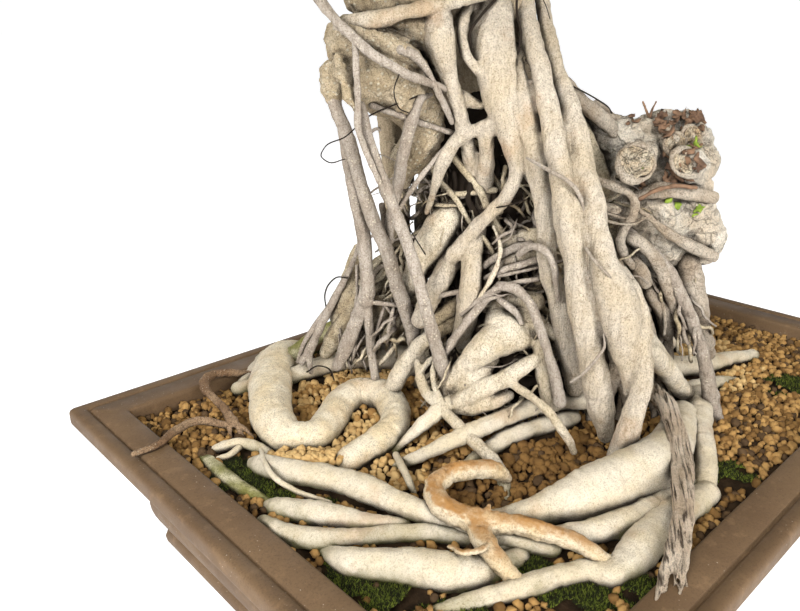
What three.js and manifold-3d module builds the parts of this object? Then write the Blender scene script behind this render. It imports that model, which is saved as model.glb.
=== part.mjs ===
// Ficus bonsai with aerial roots in a brown unglazed tray. Millimetres, +Z up, the tray's long side along X.
import * as THREE from 'three';
import { mergeVertices } from 'three/addons/utils/BufferGeometryUtils.js';
import Module from 'manifold-3d';

const wasm = await Module();
wasm.setup();

// Tray
const TRAY_LENGTH = 560;
const TRAY_WIDTH = 400;
const TRAY_HEIGHT = 135;
const FOOT_HEIGHT = 8;
const FOOT_SIZE = 62;
const RIM_WIDTH = 31;
const FLOOR_THICKNESS = 14;
// Soil
const SOIL_EDGE = 125;
const SOIL_MOUND = 12;
const MOUND_SPREAD = 140;
// Clearance between pieces that meet
const GAP = 0.32;
// Trunk and root base
const BASE_X = -25;
const BASE_Y = 12;
const CORE_RADIUS = 50;
const COLUMN_SPREAD = 64;
const CORE_TOP = 232;
const HIDDEN_COLUMNS = 5;
const HIDDEN_ROOTS = 7;
// Crown
const CROWN_LENGTH = 770;
const CROWN_WIDTH = 640;
const CROWN_TOP = 885;
const CROWN_FOOT = 455;
const FORK_HEIGHT = 585;
const LOW_MASSES = 5;
const UPPER_MASSES = 3;
const LEAF_LENGTH = 86;
const LEAF_WIDTH = 45;
const LEAF_THICKNESS = 3;
const LEAF_SPACING = 0.46;
const PRIMARY_TWIGS = 11;
const FAN_LEAVES = 4;
const SEED = 41;

const BARK = 0xd8ccb4;
const GREY_BARK = 0xb3a794;

function random(seed) {
  let state = seed >>> 0;
  return () => {
    state = (state + 0x6d2b79f5) >>> 0;
    let t = state;
    t = Math.imul(t ^ (t >>> 15), t | 1);
    t ^= t + Math.imul(t ^ (t >>> 7), t | 61);
    return ((t ^ (t >>> 14)) >>> 0) / 4294967296;
  };
}

function toManifold(geometry) {
  const bare = geometry.clone();
  bare.deleteAttribute('normal');
  bare.deleteAttribute('uv');
  const merged = mergeVertices(bare, 1e-4);
  const mesh = new wasm.Mesh({
    numProp: 3,
    vertProperties: new Float32Array(merged.attributes.position.array),
    triVerts: new Uint32Array(merged.index.array),
  });
  mesh.merge();
  return new wasm.Manifold(mesh);
}

function toGeometry(solid) {
  const mesh = solid.getMesh();
  const geometry = new THREE.BufferGeometry();
  geometry.setAttribute('position', new THREE.BufferAttribute(new Float32Array(mesh.vertProperties), 3));
  geometry.setIndex(new THREE.BufferAttribute(new Uint32Array(mesh.triVerts), 1));
  geometry.computeVertexNormals();
  return geometry;
}

function largest(solid) {
  const bodies = solid.decompose();
  let best = bodies[0];
  for (const body of bodies) {
    if (body.volume() > best.volume()) {
      best = body;
    }
  }
  return best;
}

// A limb runs smoothly through its stations [x, y, z, radius]
function limb(stations, sides, steps, extra = 0) {
  const curve = new THREE.CatmullRomCurve3(stations.map((s) => new THREE.Vector3(s[0], s[1], s[2])));
  const frames = curve.computeFrenetFrames(steps, false);
  const shape = new THREE.CylinderGeometry(1, 1, 1, sides, steps);
  const position = shape.attributes.position;
  for (let i = 0; i < position.count; i += 1) {
    const ring = Math.round((position.getY(i) + 0.5) * steps);
    const along = ring / steps;
    const at = along * (stations.length - 1);
    const low = Math.min(Math.floor(at), stations.length - 2);
    const mix = at - low;
    const radius = stations[low][3] * (1 - mix) + stations[low + 1][3] * mix + extra;
    const centre = curve.getPoint(along);
    centre.addScaledVector(frames.normals[ring], -position.getX(i) * radius);
    centre.addScaledVector(frames.binormals[ring], position.getZ(i) * radius);
    if (ring === 0) {
      centre.addScaledVector(frames.tangents[0], -extra);
    }
    if (ring === steps) {
      centre.addScaledVector(frames.tangents[steps], extra);
    }
    position.setXYZ(i, centre.x, centre.y, centre.z);
  }
  const solid = toManifold(shape);
  return solid.volume() < 0 ? toManifold(flipped(shape)) : solid;
}

function flipped(shape) {
  const other = shape.clone();
  const order = other.index.array;
  for (let i = 0; i < order.length; i += 3) {
    const first = order[i];
    order[i] = order[i + 1];
    order[i + 1] = first;
  }
  return other;
}

// A solid of oblong rings: each row is [inset from the tray's edge, height], null inset is the middle
function oblong(rows, perSide, lift = (x, y, z) => z) {
  const points = rows.map((row, j) => new THREE.Vector2(row[0] === null ? 0 : 1 + j, row[1]));
  const shape = new THREE.LatheGeometry(points, perSide * 4);
  const corners = [[1, -1], [1, 1], [-1, 1], [-1, -1], [1, -1]];
  const position = shape.attributes.position;
  for (let i = 0; i < position.count; i += 1) {
    const step = Math.floor(i / rows.length) % (perSide * 4);
    const row = rows[i % rows.length];
    const side = Math.floor(step / perSide);
    const mix = (step % perSide) / perSide;
    const u = corners[side][0] * (1 - mix) + corners[side + 1][0] * mix;
    const v = corners[side][1] * (1 - mix) + corners[side + 1][1] * mix;
    const x = row[0] === null ? 0 : u * (TRAY_LENGTH / 2 - row[0]);
    const y = row[0] === null ? 0 : v * (TRAY_WIDTH / 2 - row[0]);
    position.setXYZ(i, x, y, lift(x, y, row[1]));
  }
  const solid = toManifold(shape);
  return solid.volume() > 0 ? solid : toManifold(flipped(shape));
}

function soilTop(x, y) {
  const away = Math.hypot(x - BASE_X, y - BASE_Y) / MOUND_SPREAD;
  return SOIL_EDGE + SOIL_MOUND * Math.exp(-away * away);
}

// Tray: overhanging rim with a groove, a hollow neck and two swelling bands over four block feet
const wall = [
  [null, FOOT_HEIGHT], [54, FOOT_HEIGHT], [50, FOOT_HEIGHT + 2], [43, 21], [40, 29], [41.5, 34], [44, 36],
  [41, 38.5], [36, 47], [34, 58], [35.5, 70], [38, 77], [36, 92], [30, 106], [22, 116], [18, 120],
  [3, TRAY_HEIGHT - 13], [0, TRAY_HEIGHT - 10], [0, TRAY_HEIGHT - 3], [2.5, TRAY_HEIGHT], [9, TRAY_HEIGHT],
  [9.8, TRAY_HEIGHT - 1.6], [11.2, TRAY_HEIGHT - 1.6], [12, TRAY_HEIGHT], [null, TRAY_HEIGHT],
];
const hollow = [
  [null, FOOT_HEIGHT + FLOOR_THICKNESS], [60, FOOT_HEIGHT + FLOOR_THICKNESS], [54, 34], [50, 78],
  [36, 112], [RIM_WIDTH + 1, 122], [RIM_WIDTH, TRAY_HEIGHT - 2], [RIM_WIDTH - 0.8, TRAY_HEIGHT + 2],
  [null, TRAY_HEIGHT + 2],
];
let tray = oblong(wall, 1).subtract(oblong(hollow, 1));
for (const sx of [-1, 1]) {
  for (const sy of [-1, 1]) {
    const foot = new THREE.BoxGeometry(FOOT_SIZE, FOOT_SIZE * 0.7, FOOT_HEIGHT + 3);
    const x = sx * (TRAY_LENGTH / 2 - 56 - FOOT_SIZE / 2);
    const y = sy * (TRAY_WIDTH / 2 - 56 - FOOT_SIZE * 0.35);
    foot.translate(x, y, (FOOT_HEIGHT + 3) / 2);
    tray = tray.add(toManifold(foot));
  }
}

// Soil: fills the tray to just under the rim and rises gently to the trunk
const filling = [
  [null, FOOT_HEIGHT + FLOOR_THICKNESS + GAP], [60 + GAP, FOOT_HEIGHT + FLOOR_THICKNESS + GAP],
  [54 + GAP, 34], [50 + GAP, 78], [36.2 + GAP, 112], [RIM_WIDTH + 1 + GAP, 122],
  [RIM_WIDTH + 0.8 + GAP, SOIL_EDGE], [62, SOIL_EDGE], [98, SOIL_EDGE], [134, SOIL_EDGE], [168, SOIL_EDGE],
  [null, SOIL_EDGE],
];
function soilBody(extra) {
  return oblong(filling, 5, (x, y, z) => (z < SOIL_EDGE ? z : soilTop(x, y) + extra));
}
const soil = soilBody(0);
const soilCover = soilBody(GAP);

// Trunk: a leaning bole, the old swollen shoulder, fused columns and knees over a mound of roots
const bole = [
  [-52, 27, FORK_HEIGHT, 29], [-84, 42, 505, 46], [-88, 42, 430, 57], [-75, 32, 370, 57],
  [-58, 29, 318, 34], [-42, 22, 250, 24], [-28, 16, 180, 33], [-25, 14, 110, 42],
];
const columns = [
  [[-128, 68, 382, 16], [-118, 52, 358, 29], [-105, 45, 335, 30], [-92, 39, 312, 24], [-80, 36, 286, 14]],
  [[-92, 28, 395, 20], [-88, 25, 360, 10], [-75, 21, 322, 8], [-58, 22, 262, 9], [-48, 20, 215, 9]],
  [[-56, 20, 400, 19], [-72, -4, 345, 12], [-71, -24, 303, 10], [-64, -40, 250, 7], [-54, -47, 195, 7],
    [-44, -51, 125, 10]],
  [[-45, 12, 400, 15], [-66, -18, 352, 11], [-72, -40, 308, 10], [-72, -62, 262, 10], [-70, -78, 207, 9],
    [-60, -88, 130, 15]],
  [[-30, 5, 398, 11], [-52, -30, 357, 9], [-59, -51, 314, 8], [-64, -62, 282, 6]],
  [[-27, 8, 396, 9], [-42, -25, 362, 9], [-50, -52, 320, 9], [-53, -75, 275, 9], [-55, -95, 230, 11],
    [-56, -107, 190, 10], [-74, -106, 130, 8]],
  [[-72, -22, 304, 6], [-83, -7, 272, 6], [-95, 26, 224, 5]],
  [[-76, 4, 264, 7], [-75, 11, 200, 9]],
  [[-60, -14, 214, 6], [-60, -10, 192, 13], [-92, 12, 166, 7]],
];
function hiddenColumn(k) {
  const turn = THREE.MathUtils.degToRad(112 - 34 * k);
  const roll = random(SEED + k);
  const spread = COLUMN_SPREAD * (0.9 + 0.35 * roll());
  const thick = 8 + 4 * roll();
  const cx = Math.cos(turn);
  const cy = Math.sin(turn);
  return [
    [-80 + 36 * cx, 36 + 36 * cy, 405, thick * 1.5],
    [-68 + 50 * cx, 28 + 50 * cy, 345, thick],
    [-48 + (spread - 8) * cx, 18 + (spread - 8) * cy, 265, thick * 0.85],
    [BASE_X + (spread + 12) * cx, BASE_Y + (spread + 12) * cy, 185, thick],
    [BASE_X + (spread + 30) * cx, BASE_Y + (spread + 30) * cy, 118, thick * 1.5],
  ];
}
for (let k = 0; k < HIDDEN_COLUMNS; k += 1) {
  columns.push(hiddenColumn(k));
}
function coreMound(extra) {
  const ball = new THREE.SphereGeometry(1, 12, 8);
  ball.rotateX(Math.PI / 2);
  ball.scale(CORE_RADIUS * 1.08 + extra, CORE_RADIUS * 0.92 + extra, CORE_TOP - SOIL_EDGE + extra);
  ball.translate(BASE_X, BASE_Y, SOIL_EDGE);
  return toManifold(ball);
}
function trunkBody(extra) {
  const pieces = [limb(bole, 11, 12, extra), coreMound(extra)];
  for (const stations of columns) {
    pieces.push(limb(stations, 6, Math.round((stations.length - 1) * 2.4), extra));
  }
  return wasm.Manifold.union(pieces);
}
const trunk = largest(largest(trunkBody(0).subtract(soilCover)).simplify(0.6));
const trunkCover = trunkBody(GAP + 0.6);

// Side stump: the cut-back second trunk, lumpy, with two sawn faces
function stumpBody(extra) {
  const main = limb([[14, -26, 105, 48], [22, -32, 180, 44], [36, -40, 245, 42], [46, -42, 305, 38], [50, -42, 330, 26]],
    8, 6, extra);
  const knob = limb([[22, -52, 265, 20], [14, -66, 296, 15], [10, -72, 308, 12]], 7, 2, extra);
  const scar = limb([[50, -60, 290, 22], [40, -80, 304, 17], [37, -86, 308, 15]], 7, 2, extra);
  const crest = limb([[66, -38, 280, 24], [82, -46, 322, 16], [86, -48, 332, 12]], 7, 2, extra);
  return wasm.Manifold.union([main, knob, scar, crest]);
}

const nodes = [];
const covers = [soilCover, trunkCover];
function addNode(name, solid, color, roughness = 0.85) {
  nodes.push({ name, solid, color, roughness });
}
addNode('tray', tray, 0x6e4f3c, 0.8);
addNode('soil', soil, 0xa27a48, 1);
addNode('trunk', trunk, BARK);

function fitted(body, cover) {
  let solid = body;
  for (const other of covers) {
    solid = solid.subtract(other);
  }
  covers.push(cover);
  return largest(largest(solid).simplify(0.12));
}
const trayCover = oblong([
  [null, 60], [20, 60], [14, 116], [-GAP, 118], [-GAP, TRAY_HEIGHT + GAP], [RIM_WIDTH + GAP, TRAY_HEIGHT + GAP],
  [RIM_WIDTH + 1.4 + GAP, 122], [36.6 + GAP, 112], [47, 90], [null, 90],
], 1);
covers.push(trayCover);
addNode('side_stump', fitted(stumpBody(0), stumpBody(GAP + 0.15)), 0xbfae92);

// Roots: name, colour, sides, then stations [x, y, height over the soil, radius]
const rootTable = [
  ['root_loop', BARK, 6, [[-122, 158, 2, 14], [-140, 152, 8, 17], [-171, 108, 8, 16], [-187, 75, 7, 13.5],
    [-184, 55, 6, 11.5], [-164, 57, 6, 10.5], [-135, 78, 6, 10.5], [-116, 76, 6, 11], [-113, 57, 6, 11.5],
    [-124, 33, 6, 11.5], [-152, 18, 5, 10], [-182, 13, 2, 8.5]]],
  ['root_front_long', BARK, 6, [[-220, 50, 6, 7], [-205, 24, 8, 8], [-186, -25, 8, 7.5], [-172, -76, 7, 6],
    [-150, -118, 6, 6]]],
  ['root_front_second', BARK, 6, [[-234, 18, 2, 5], [-215, -14, 4, 6.5], [-192, -47, 2, 5]]],
  ['root_front_third', BARK, 6, [[-243, 4, 2, 4], [-240, -15, 3, 5.5], [-213, -42, 3, 5], [-172, -78, 2, 5]]],
  ['root_front_thick', BARK, 7, [[-235, -42, 2, 5], [-223, -70, 5, 8], [-198, -96, 6, 9.5], [-163, -110, 4, 8]]],
  ['root_right_thick', BARK, 7, [[-150, -86, 9, 5.5], [-127, -97, 11, 9], [-98, -106, 13, 13], [-62, -115, 14, 15],
    [-28, -116, 13, 14], [5, -100, 10, 12]]],
  ['root_right_under', BARK, 6, [[-158, -106, 2, 5], [-118, -128, 4, 7], [-72, -137, 4, 6.5], [-40, -138, 2, 6]]],
  ['root_bottom', BARK, 6, [[-214, -108, 2, 4.5], [-178, -125, 3, 5], [-143, -143, 3, 6], [-112, -153, 5, 9.5],
    [-85, -151, 5, 9.5], [-45, -152, 3, 8]]],
  ['root_cross_low', BARK, 6, [[-26, -60, 16, 6], [-69, -38, 15, 6], [-115, -29, 15, 5.6], [-160, -16, 12, 4.2]]],
  ['root_cross_under', BARK, 6, [[-37, -54, 4, 5.4], [-75, -46, 4, 6], [-115, -42, 3, 5.6]]],
  ['root_diagonal', BARK, 6, [[-30, -4, 27, 6], [-69, -5, 26, 6.2], [-105, -5, 26, 5.6], [-140, -6, 24, 4.3]]],
  ['root_orange', 0xcfa878, 6, [[-132, -68, 12, 4.5], [-148, -54, 17, 5.2], [-172, -55, 17, 5], [-178, -76, 17, 5],
    [-160, -104, 17, 5], [-147, -128, 15, 4.6], [-149, -146, 12, 4]]],
  ['root_strap', GREY_BARK, 6, [[-5, -84, 34, 6], [-11, -102, 34, 6], [-46, -135, 28, 5.3], [-101, -162, 22, 4.6],
    [-146, -179, 14, 3.2]]],
  ['root_edge', BARK, 6, [[64, -94, 5, 8.7], [13, -120, 7, 8.6], [-24, -142, 6, 7]]],
  ['root_back_left', 0xb9b088, 6, [[-140, 156, 4, 6], [-106, 149, 22, 6], [-78, 110, 46, 7], [-55, 62, 60, 8]]],
  ['root_corner_hook', 0x9a7b5c, 6, [[-166, 144, 12, 3.2], [-190, 161, 16, 3.8], [-205, 134, 12, 3.6],
    [-211, 96, 3, 3.4]]],
  ['root_corner_tip', 0x9a7b5c, 6, [[-272, 111, 13, 2.2], [-231, 121, 9, 2.7], [-214, 104, 4, 2.8]]],
];
function hiddenRoot(k) {
  const roll = random(SEED * 3 + k);
  const turn = THREE.MathUtils.degToRad(118 - 26 * k + 6 * roll());
  const bend = (roll() - 0.5) * 60;
  const thick = 8 + 6 * roll();
  const stations = [];
  for (let s = 0; s < 5; s += 1) {
    const along = s / 4;
    const out = 62 + along * 118;
    const side = bend * Math.sin(along * Math.PI * 1.4);
    const x = BASE_X + 1.35 * out * Math.cos(turn) - side * Math.sin(turn);
    const y = BASE_Y + out * Math.sin(turn) + side * Math.cos(turn);
    const inX = THREE.MathUtils.clamp(x, -236, 236);
    const inY = THREE.MathUtils.clamp(y, -154, 154);
    stations.push([inX, inY, (1 - along) * 14 + 3, thick * (1 - 0.55 * along)]);
  }
  return stations;
}
for (let k = 0; k < HIDDEN_ROOTS; k += 1) {
  rootTable.push([`root_far_${k + 1}`, BARK, 7, hiddenRoot(k)]);
}
for (const [name, color, sides, low] of rootTable) {
  const stations = low.map((s) => [s[0], s[1], soilTop(s[0], s[1]) + s[2], s[3]]);
  const steps = Math.max(6, Math.round((stations.length - 1) * 1.8));
  addNode(name, fitted(limb(stations, sides, steps), limb(stations, sides, steps, GAP + 0.12)), color);
}

// Aerial roots: stations [x, y, z, radius]
const aerialTable = [
  ['prop_outer', [[-140, 48, 360, 5], [-143, 51, 327, 5], [-134, 54, 296, 5], [-120, 63, 232, 5.5],
    [-119, 76, 187, 6], [-125, 92, 128, 6]]],
  ['prop_inner', [[-138, 47, 308, 4], [-124, 43, 268, 5], [-104, 46, 214, 5.5], [-84, 40, 160, 6]]],
  ['prop_front', [[-143, 42, 366, 4], [-149, 40, 350, 4], [-140, 30, 324, 4], [-124, 16, 255, 4.5],
    [-106, 0, 192, 5], [-96, -6, 130, 6]]],
  ['prop_far_left', [[-100, 72, 262, 3], [-118, 94, 212, 3], [-123, 112, 172, 4], [-128, 124, 120, 5]]],
  ['prop_stump', [[0, -56, 262, 4], [6, -76, 250, 4], [16, -88, 228, 4], [36, -102, 180, 5], [52, -112, 122, 6]]],
];
for (const [name, stations] of aerialTable) {
  const steps = (stations.length - 1) * 3;
  addNode(name, fitted(limb(stations, 6, steps), limb(stations, 6, steps, GAP + 0.12)), GREY_BARK);
}

// Crown: a low ring of masses, an upper ring and one on top, each on its own bough
const masses = [];
function addMass(name, turnDegrees, ring, rise, size) {
  const turn = THREE.MathUtils.degToRad(turnDegrees);
  const reachX = CROWN_LENGTH / 2 - size[0];
  const reachY = CROWN_WIDTH / 2 - size[1];
  const centre = new THREE.Vector3(Math.cos(turn) * reachX * ring, Math.sin(turn) * reachY * ring, rise);
  masses.push({ name, centre, size: new THREE.Vector3(size[0], size[1], size[2]), turn, planes: [] });
}
for (let k = 0; k < LOW_MASSES; k += 1) {
  addMass(`foliage_low_${k + 1}`, 180 + 72 * k, 1, CROWN_FOOT + 92 + 14 * (k % 2), [150, 140, 92]);
}
for (let k = 0; k < UPPER_MASSES; k += 1) {
  addMass(`foliage_upper_${k + 1}`, 150 + 120 * k, 0.62, CROWN_FOOT + 218 + 10 * k, [150, 135, 88]);
}
addMass('foliage_top', 0, 0.05, CROWN_TOP - 98, [150, 135, 98]);

for (const mass of masses) {
  for (const other of masses) {
    if (other !== mass) {
      const away = other.centre.clone().sub(mass.centre);
      const half = away.length() / 2 - 1.5;
      const normal = away.normalize();
      mass.planes.push({ normal, limit: normal.dot(mass.centre) + half });
    }
  }
}
function within(mass, point, margin = 0) {
  const local = point.clone().sub(mass.centre).divide(mass.size);
  if (local.length() > 1 - margin / mass.size.z) {
    return false;
  }
  return mass.planes.every((plane) => plane.normal.dot(point) < plane.limit - margin);
}

const boughs = [];
function boleAt(z) {
  for (let i = 0; i < bole.length - 1; i += 1) {
    const high = bole[i];
    const low = bole[i + 1];
    if (z <= high[2] && z >= low[2]) {
      const mix = (high[2] - z) / (high[2] - low[2]);
      return new THREE.Vector3(high[0] + (low[0] - high[0]) * mix, high[1] + (low[1] - high[1]) * mix, z);
    }
  }
  return new THREE.Vector3(bole[0][0], bole[0][1], bole[0][2]);
}
masses.forEach((mass, k) => {
  const top = k === masses.length - 1;
  const upper = k >= LOW_MASSES && !top;
  const startHeight = top ? FORK_HEIGHT - 14 : upper ? FORK_HEIGHT - 26 - 4 * k : 462 + 13 * ((k * 2) % LOW_MASSES);
  const start = boleAt(startHeight);
  const end = mass.centre.clone().lerp(start, top ? 0.42 : 0.34);
  end.z -= top ? 0 : 14;
  const thick = top ? 27 : upper ? 17 : 20;
  const middle = start.clone().lerp(end, 0.5);
  middle.z += top ? 0 : -12 + 18 * (k % 2);
  middle.x += top ? 12 : 10 * Math.sin(mass.turn);
  middle.y += top ? -8 : -10 * Math.cos(mass.turn);
  const stations = [
    [start.x, start.y, start.z, thick],
    [middle.x, middle.y, middle.z, thick * 0.68],
    [end.x, end.y, end.z, thick * 0.42],
  ];
  const cover = limb(stations, 8, 6, GAP + 0.12);
  const solid = fitted(limb(stations, 8, 6), cover);
  boughs.push({ stations, end, cover, thick: thick * 0.42 });
  addNode(`bough_${k + 1}`, solid, BARK);
});

const limbLines = [];
function addLine(stations) {
  const curve = new THREE.CatmullRomCurve3(stations.map((s) => new THREE.Vector3(s[0], s[1], s[2])));
  for (let i = 0; i <= 30; i += 1) {
    const at = (i / 30) * (stations.length - 1);
    const low = Math.min(Math.floor(at), stations.length - 2);
    const radius = stations[low][3] + (stations[low + 1][3] - stations[low][3]) * (at - low);
    limbLines.push({ point: curve.getPoint(i / 30), radius });
  }
}
addLine(bole);
boughs.forEach((bough) => addLine(bough.stations));
function clearOfLimbs(point, room) {
  return limbLines.every((line) => line.point.distanceTo(point) > line.radius + room);
}

function twig(from, to, thickFrom, thickTo) {
  const shape = new THREE.CylinderGeometry(thickTo, thickFrom, from.distanceTo(to), 3, 1);
  const turn = new THREE.Quaternion().setFromUnitVectors(
    new THREE.Vector3(0, 1, 0), to.clone().sub(from).normalize());
  shape.applyQuaternion(turn);
  const middle = from.clone().lerp(to, 0.5);
  shape.translate(middle.x, middle.y, middle.z);
  return toManifold(shape);
}
// A leaf is a flat eight-faced blade with its root sunk in the twig
function leafCorners(root, axis, up, scale) {
  const across = axis.clone().cross(up).normalize();
  const normal = across.clone().cross(axis).normalize();
  const base = root.clone().addScaledVector(axis, -0.1 * LEAF_LENGTH);
  const wide = base.clone().addScaledVector(axis, 0.52 * LEAF_LENGTH * scale);
  return [
    base,
    base.clone().addScaledVector(axis, LEAF_LENGTH * 1.1 * scale).addScaledVector(normal, -4),
    wide.clone().addScaledVector(across, LEAF_WIDTH * 0.5 * scale),
    wide.clone().addScaledVector(across, -LEAF_WIDTH * 0.5 * scale),
    wide.clone().addScaledVector(normal, 2 + LEAF_THICKNESS),
    wide.clone().addScaledVector(normal, 2),
  ];
}
function leafBody(corners) {
  const shape = new THREE.OctahedronGeometry(1, 0);
  const position = shape.attributes.position;
  for (let i = 0; i < position.count; i += 1) {
    const x = position.getX(i);
    const y = position.getY(i);
    const z = position.getZ(i);
    const pick = x > 0.5 ? 1 : x < -0.5 ? 0 : y > 0.5 ? 2 : y < -0.5 ? 3 : z > 0.5 ? 4 : 5;
    position.setXYZ(i, corners[pick].x, corners[pick].y, corners[pick].z);
  }
  const solid = toManifold(shape);
  return solid.volume() > 0 ? solid : toManifold(flippedFlat(shape));
}
function flippedFlat(shape) {
  const other = shape.clone();
  const p = other.attributes.position;
  for (let i = 0; i < p.count; i += 3) {
    const hold = [p.getX(i), p.getY(i), p.getZ(i)];
    p.setXYZ(i, p.getX(i + 1), p.getY(i + 1), p.getZ(i + 1));
    p.setXYZ(i + 1, hold[0], hold[1], hold[2]);
  }
  return other;
}

masses.forEach((mass, k) => {
  const roll = random(SEED * 7 + k * 13);
  const bough = boughs[k];
  const pieces = [];
  const taken = [];
  const heart = mass.centre.clone().lerp(bough.end, 0.12);
  const foot = bough.end.clone().lerp(heart, -0.05);
  pieces.push(twig(foot, heart, bough.thick * 0.8, 4.2));
  function reach(from, heading) {
    let far = 0;
    while (far < 320 && within(mass, from.clone().addScaledVector(heading, far + 6), 2)) {
      far += 6;
    }
    return far;
  }
  function addLeaf(root, axis, scale) {
    const up = root.clone().sub(mass.centre).divide(mass.size).addScaledVector(new THREE.Vector3(0, 0, 1), 0.7);
    up.normalize();
    const corners = leafCorners(root, axis, up, scale);
    const middle = corners[4].clone().lerp(corners[5], 0.5);
    const halfway = middle.clone().lerp(corners[1], 0.5);
    const all = corners.concat([middle, halfway]);
    if (!all.every((corner) => within(mass, corner, 1) && clearOfLimbs(corner, 5))) {
      return;
    }
    const room = LEAF_SPACING * LEAF_LENGTH;
    if (taken.some((spot) => spot.distanceTo(middle) < room || spot.distanceTo(halfway) < room * 0.8)) {
      return;
    }
    taken.push(middle);
    pieces.push(leafBody(corners));
  }
  for (let i = 0; i < PRIMARY_TWIGS; i += 1) {
    const height = 0.93 - (1.5 * (i + 0.5)) / PRIMARY_TWIGS;
    const spin = i * 2.39996 + roll() * 0.4 + k;
    const flat = Math.sqrt(Math.max(0.05, 1 - height * height));
    const heading = new THREE.Vector3(flat * Math.cos(spin), flat * Math.sin(spin), height * 0.7).normalize();
    const from = foot.clone().lerp(heart, 0.5 + 0.48 * roll());
    const far = reach(from, heading) - LEAF_LENGTH * 0.95;
    if (far < 14) {
      addLeaf(from, heading, 0.85);
      continue;
    }
    const tip = from.clone().addScaledVector(heading, far);
    if (!clearOfLimbs(tip, 6) || !clearOfLimbs(from.clone().lerp(tip, 0.6), 5)) {
      continue;
    }
    pieces.push(twig(from, tip, 3.6, 2.4));
    addLeaf(tip, heading, 1);
    const level = new THREE.Vector3(-Math.sin(spin), Math.cos(spin), 0);
    const across = heading.clone().cross(level).normalize();
    for (let fan = 0; fan < FAN_LEAVES; fan += 1) {
      const turn = (fan * 2 * Math.PI) / 3 + roll() * 0.5;
      const open = 0.8 + 0.12 * fan;
      const axis = heading.clone().multiplyScalar(Math.cos(open));
      axis.addScaledVector(level, Math.sin(open) * Math.cos(turn));
      axis.addScaledVector(across, Math.sin(open) * Math.sin(turn)).normalize();
      addLeaf(from.clone().lerp(tip, 0.97 - 0.11 * fan), axis, 0.98 - 0.03 * fan);
    }
  }
  const fused = largest(largest(wasm.Manifold.union(pieces).subtract(bough.cover)).simplify(0.05));
  addNode(mass.name, fused, 0x3f6b2c, 0.6);
});

const group = new THREE.Group();
group.name = 'ficus_bonsai';
const bounds = new THREE.Box3();
for (const node of nodes) {
  node.geometry = toGeometry(node.solid);
  node.geometry.computeBoundingBox();
  bounds.union(node.geometry.boundingBox);
}
const shiftX = -(bounds.min.x + bounds.max.x) / 2;
const shiftY = -(bounds.min.y + bounds.max.y) / 2;
for (const node of nodes) {
  node.geometry.translate(shiftX, shiftY, 0);
  const material = new THREE.MeshStandardMaterial({ color: node.color, roughness: node.roughness, metalness: 0 });
  const mesh = new THREE.Mesh(node.geometry, material);
  mesh.name = node.name;
  group.add(mesh);
}

export default group;
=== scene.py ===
"""Ficus bonsai with aerial roots in an unglazed clay tray, dressed for rendering.

Sizes are in millimetres in the tray's own frame: middle of the tray at X = Y = 0, floor at Z = 0.
Photo places and photo radii are in the photograph's pixels, 800 wide.
"""
import math

import bpy
import numpy as np
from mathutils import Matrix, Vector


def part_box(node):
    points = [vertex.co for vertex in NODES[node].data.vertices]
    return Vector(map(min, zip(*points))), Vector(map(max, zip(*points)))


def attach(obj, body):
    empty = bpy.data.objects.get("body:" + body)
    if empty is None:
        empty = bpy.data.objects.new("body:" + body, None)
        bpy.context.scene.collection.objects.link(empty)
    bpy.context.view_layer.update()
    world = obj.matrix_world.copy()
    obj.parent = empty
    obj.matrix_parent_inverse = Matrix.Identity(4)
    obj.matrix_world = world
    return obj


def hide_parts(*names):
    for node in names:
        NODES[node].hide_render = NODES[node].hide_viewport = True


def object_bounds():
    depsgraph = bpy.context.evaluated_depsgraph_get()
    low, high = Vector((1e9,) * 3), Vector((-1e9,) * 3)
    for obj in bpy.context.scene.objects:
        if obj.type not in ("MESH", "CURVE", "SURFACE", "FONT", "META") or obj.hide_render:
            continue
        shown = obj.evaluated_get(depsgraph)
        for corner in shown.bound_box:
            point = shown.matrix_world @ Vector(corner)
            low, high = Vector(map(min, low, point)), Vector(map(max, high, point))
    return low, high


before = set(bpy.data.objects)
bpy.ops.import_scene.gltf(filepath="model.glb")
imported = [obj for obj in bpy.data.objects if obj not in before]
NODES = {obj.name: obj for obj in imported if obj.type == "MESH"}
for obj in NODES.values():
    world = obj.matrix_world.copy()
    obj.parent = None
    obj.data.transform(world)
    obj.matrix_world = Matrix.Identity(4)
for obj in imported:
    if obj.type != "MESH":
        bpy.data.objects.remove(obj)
cad_low, cad_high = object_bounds()

MM = 0.001
SEED = 41
tray_low, tray_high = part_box("tray")
TRAY_MIDDLE = np.array([(tray_low.x + tray_high.x) / 2, (tray_low.y + tray_high.y) / 2, 0.0])
CROWN_LOW = (np.array(cad_low) - TRAY_MIDDLE) / MM
CROWN_HIGH = (np.array(cad_high) - TRAY_MIDDLE) / MM
FULL_TURN = 2 * np.pi
QUARTERS = [(1, 1), (-1, 1), (-1, -1), (1, -1)]

# Tray
TRAY_LENGTH = 560
TRAY_WIDTH = 400
FOOT_HEIGHT = 8
FOOT_LENGTH = 62
FOOT_WIDTH = 43.4
FOOT_INSET = 56
FOOT_ROUND = 4
RIM_WIDTH = 31
CORNER_ROUND = 3.0
INSIDE_X = TRAY_LENGTH / 2 - RIM_WIDTH
INSIDE_Y = TRAY_WIDTH / 2 - RIM_WIDTH
# Soil
SOIL_EDGE = 125
SOIL_MOUND = 12
MOUND_SPREAD = 140
BASE = np.array([-25.0, 12.0])
CORE_RADIUS = 50
CORE_STRETCH = np.array([1.08, 0.92])
CORE_TOP = 232
COLUMN_SPREAD = 64
HIDDEN_COLUMNS = 5
HIDDEN_ROOTS = 7
# Camera of the photograph
CAMERA_PLACE = np.array([-418.5, -290.5, 385.0])
CAMERA_DOWN = math.radians(20.86)
CAMERA_TURN = math.radians(-43.05)
FOCAL_PIXELS = 730
IMAGE_WIDTH = 800
IMAGE_HEIGHT = 611
SENSOR = 36
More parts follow.
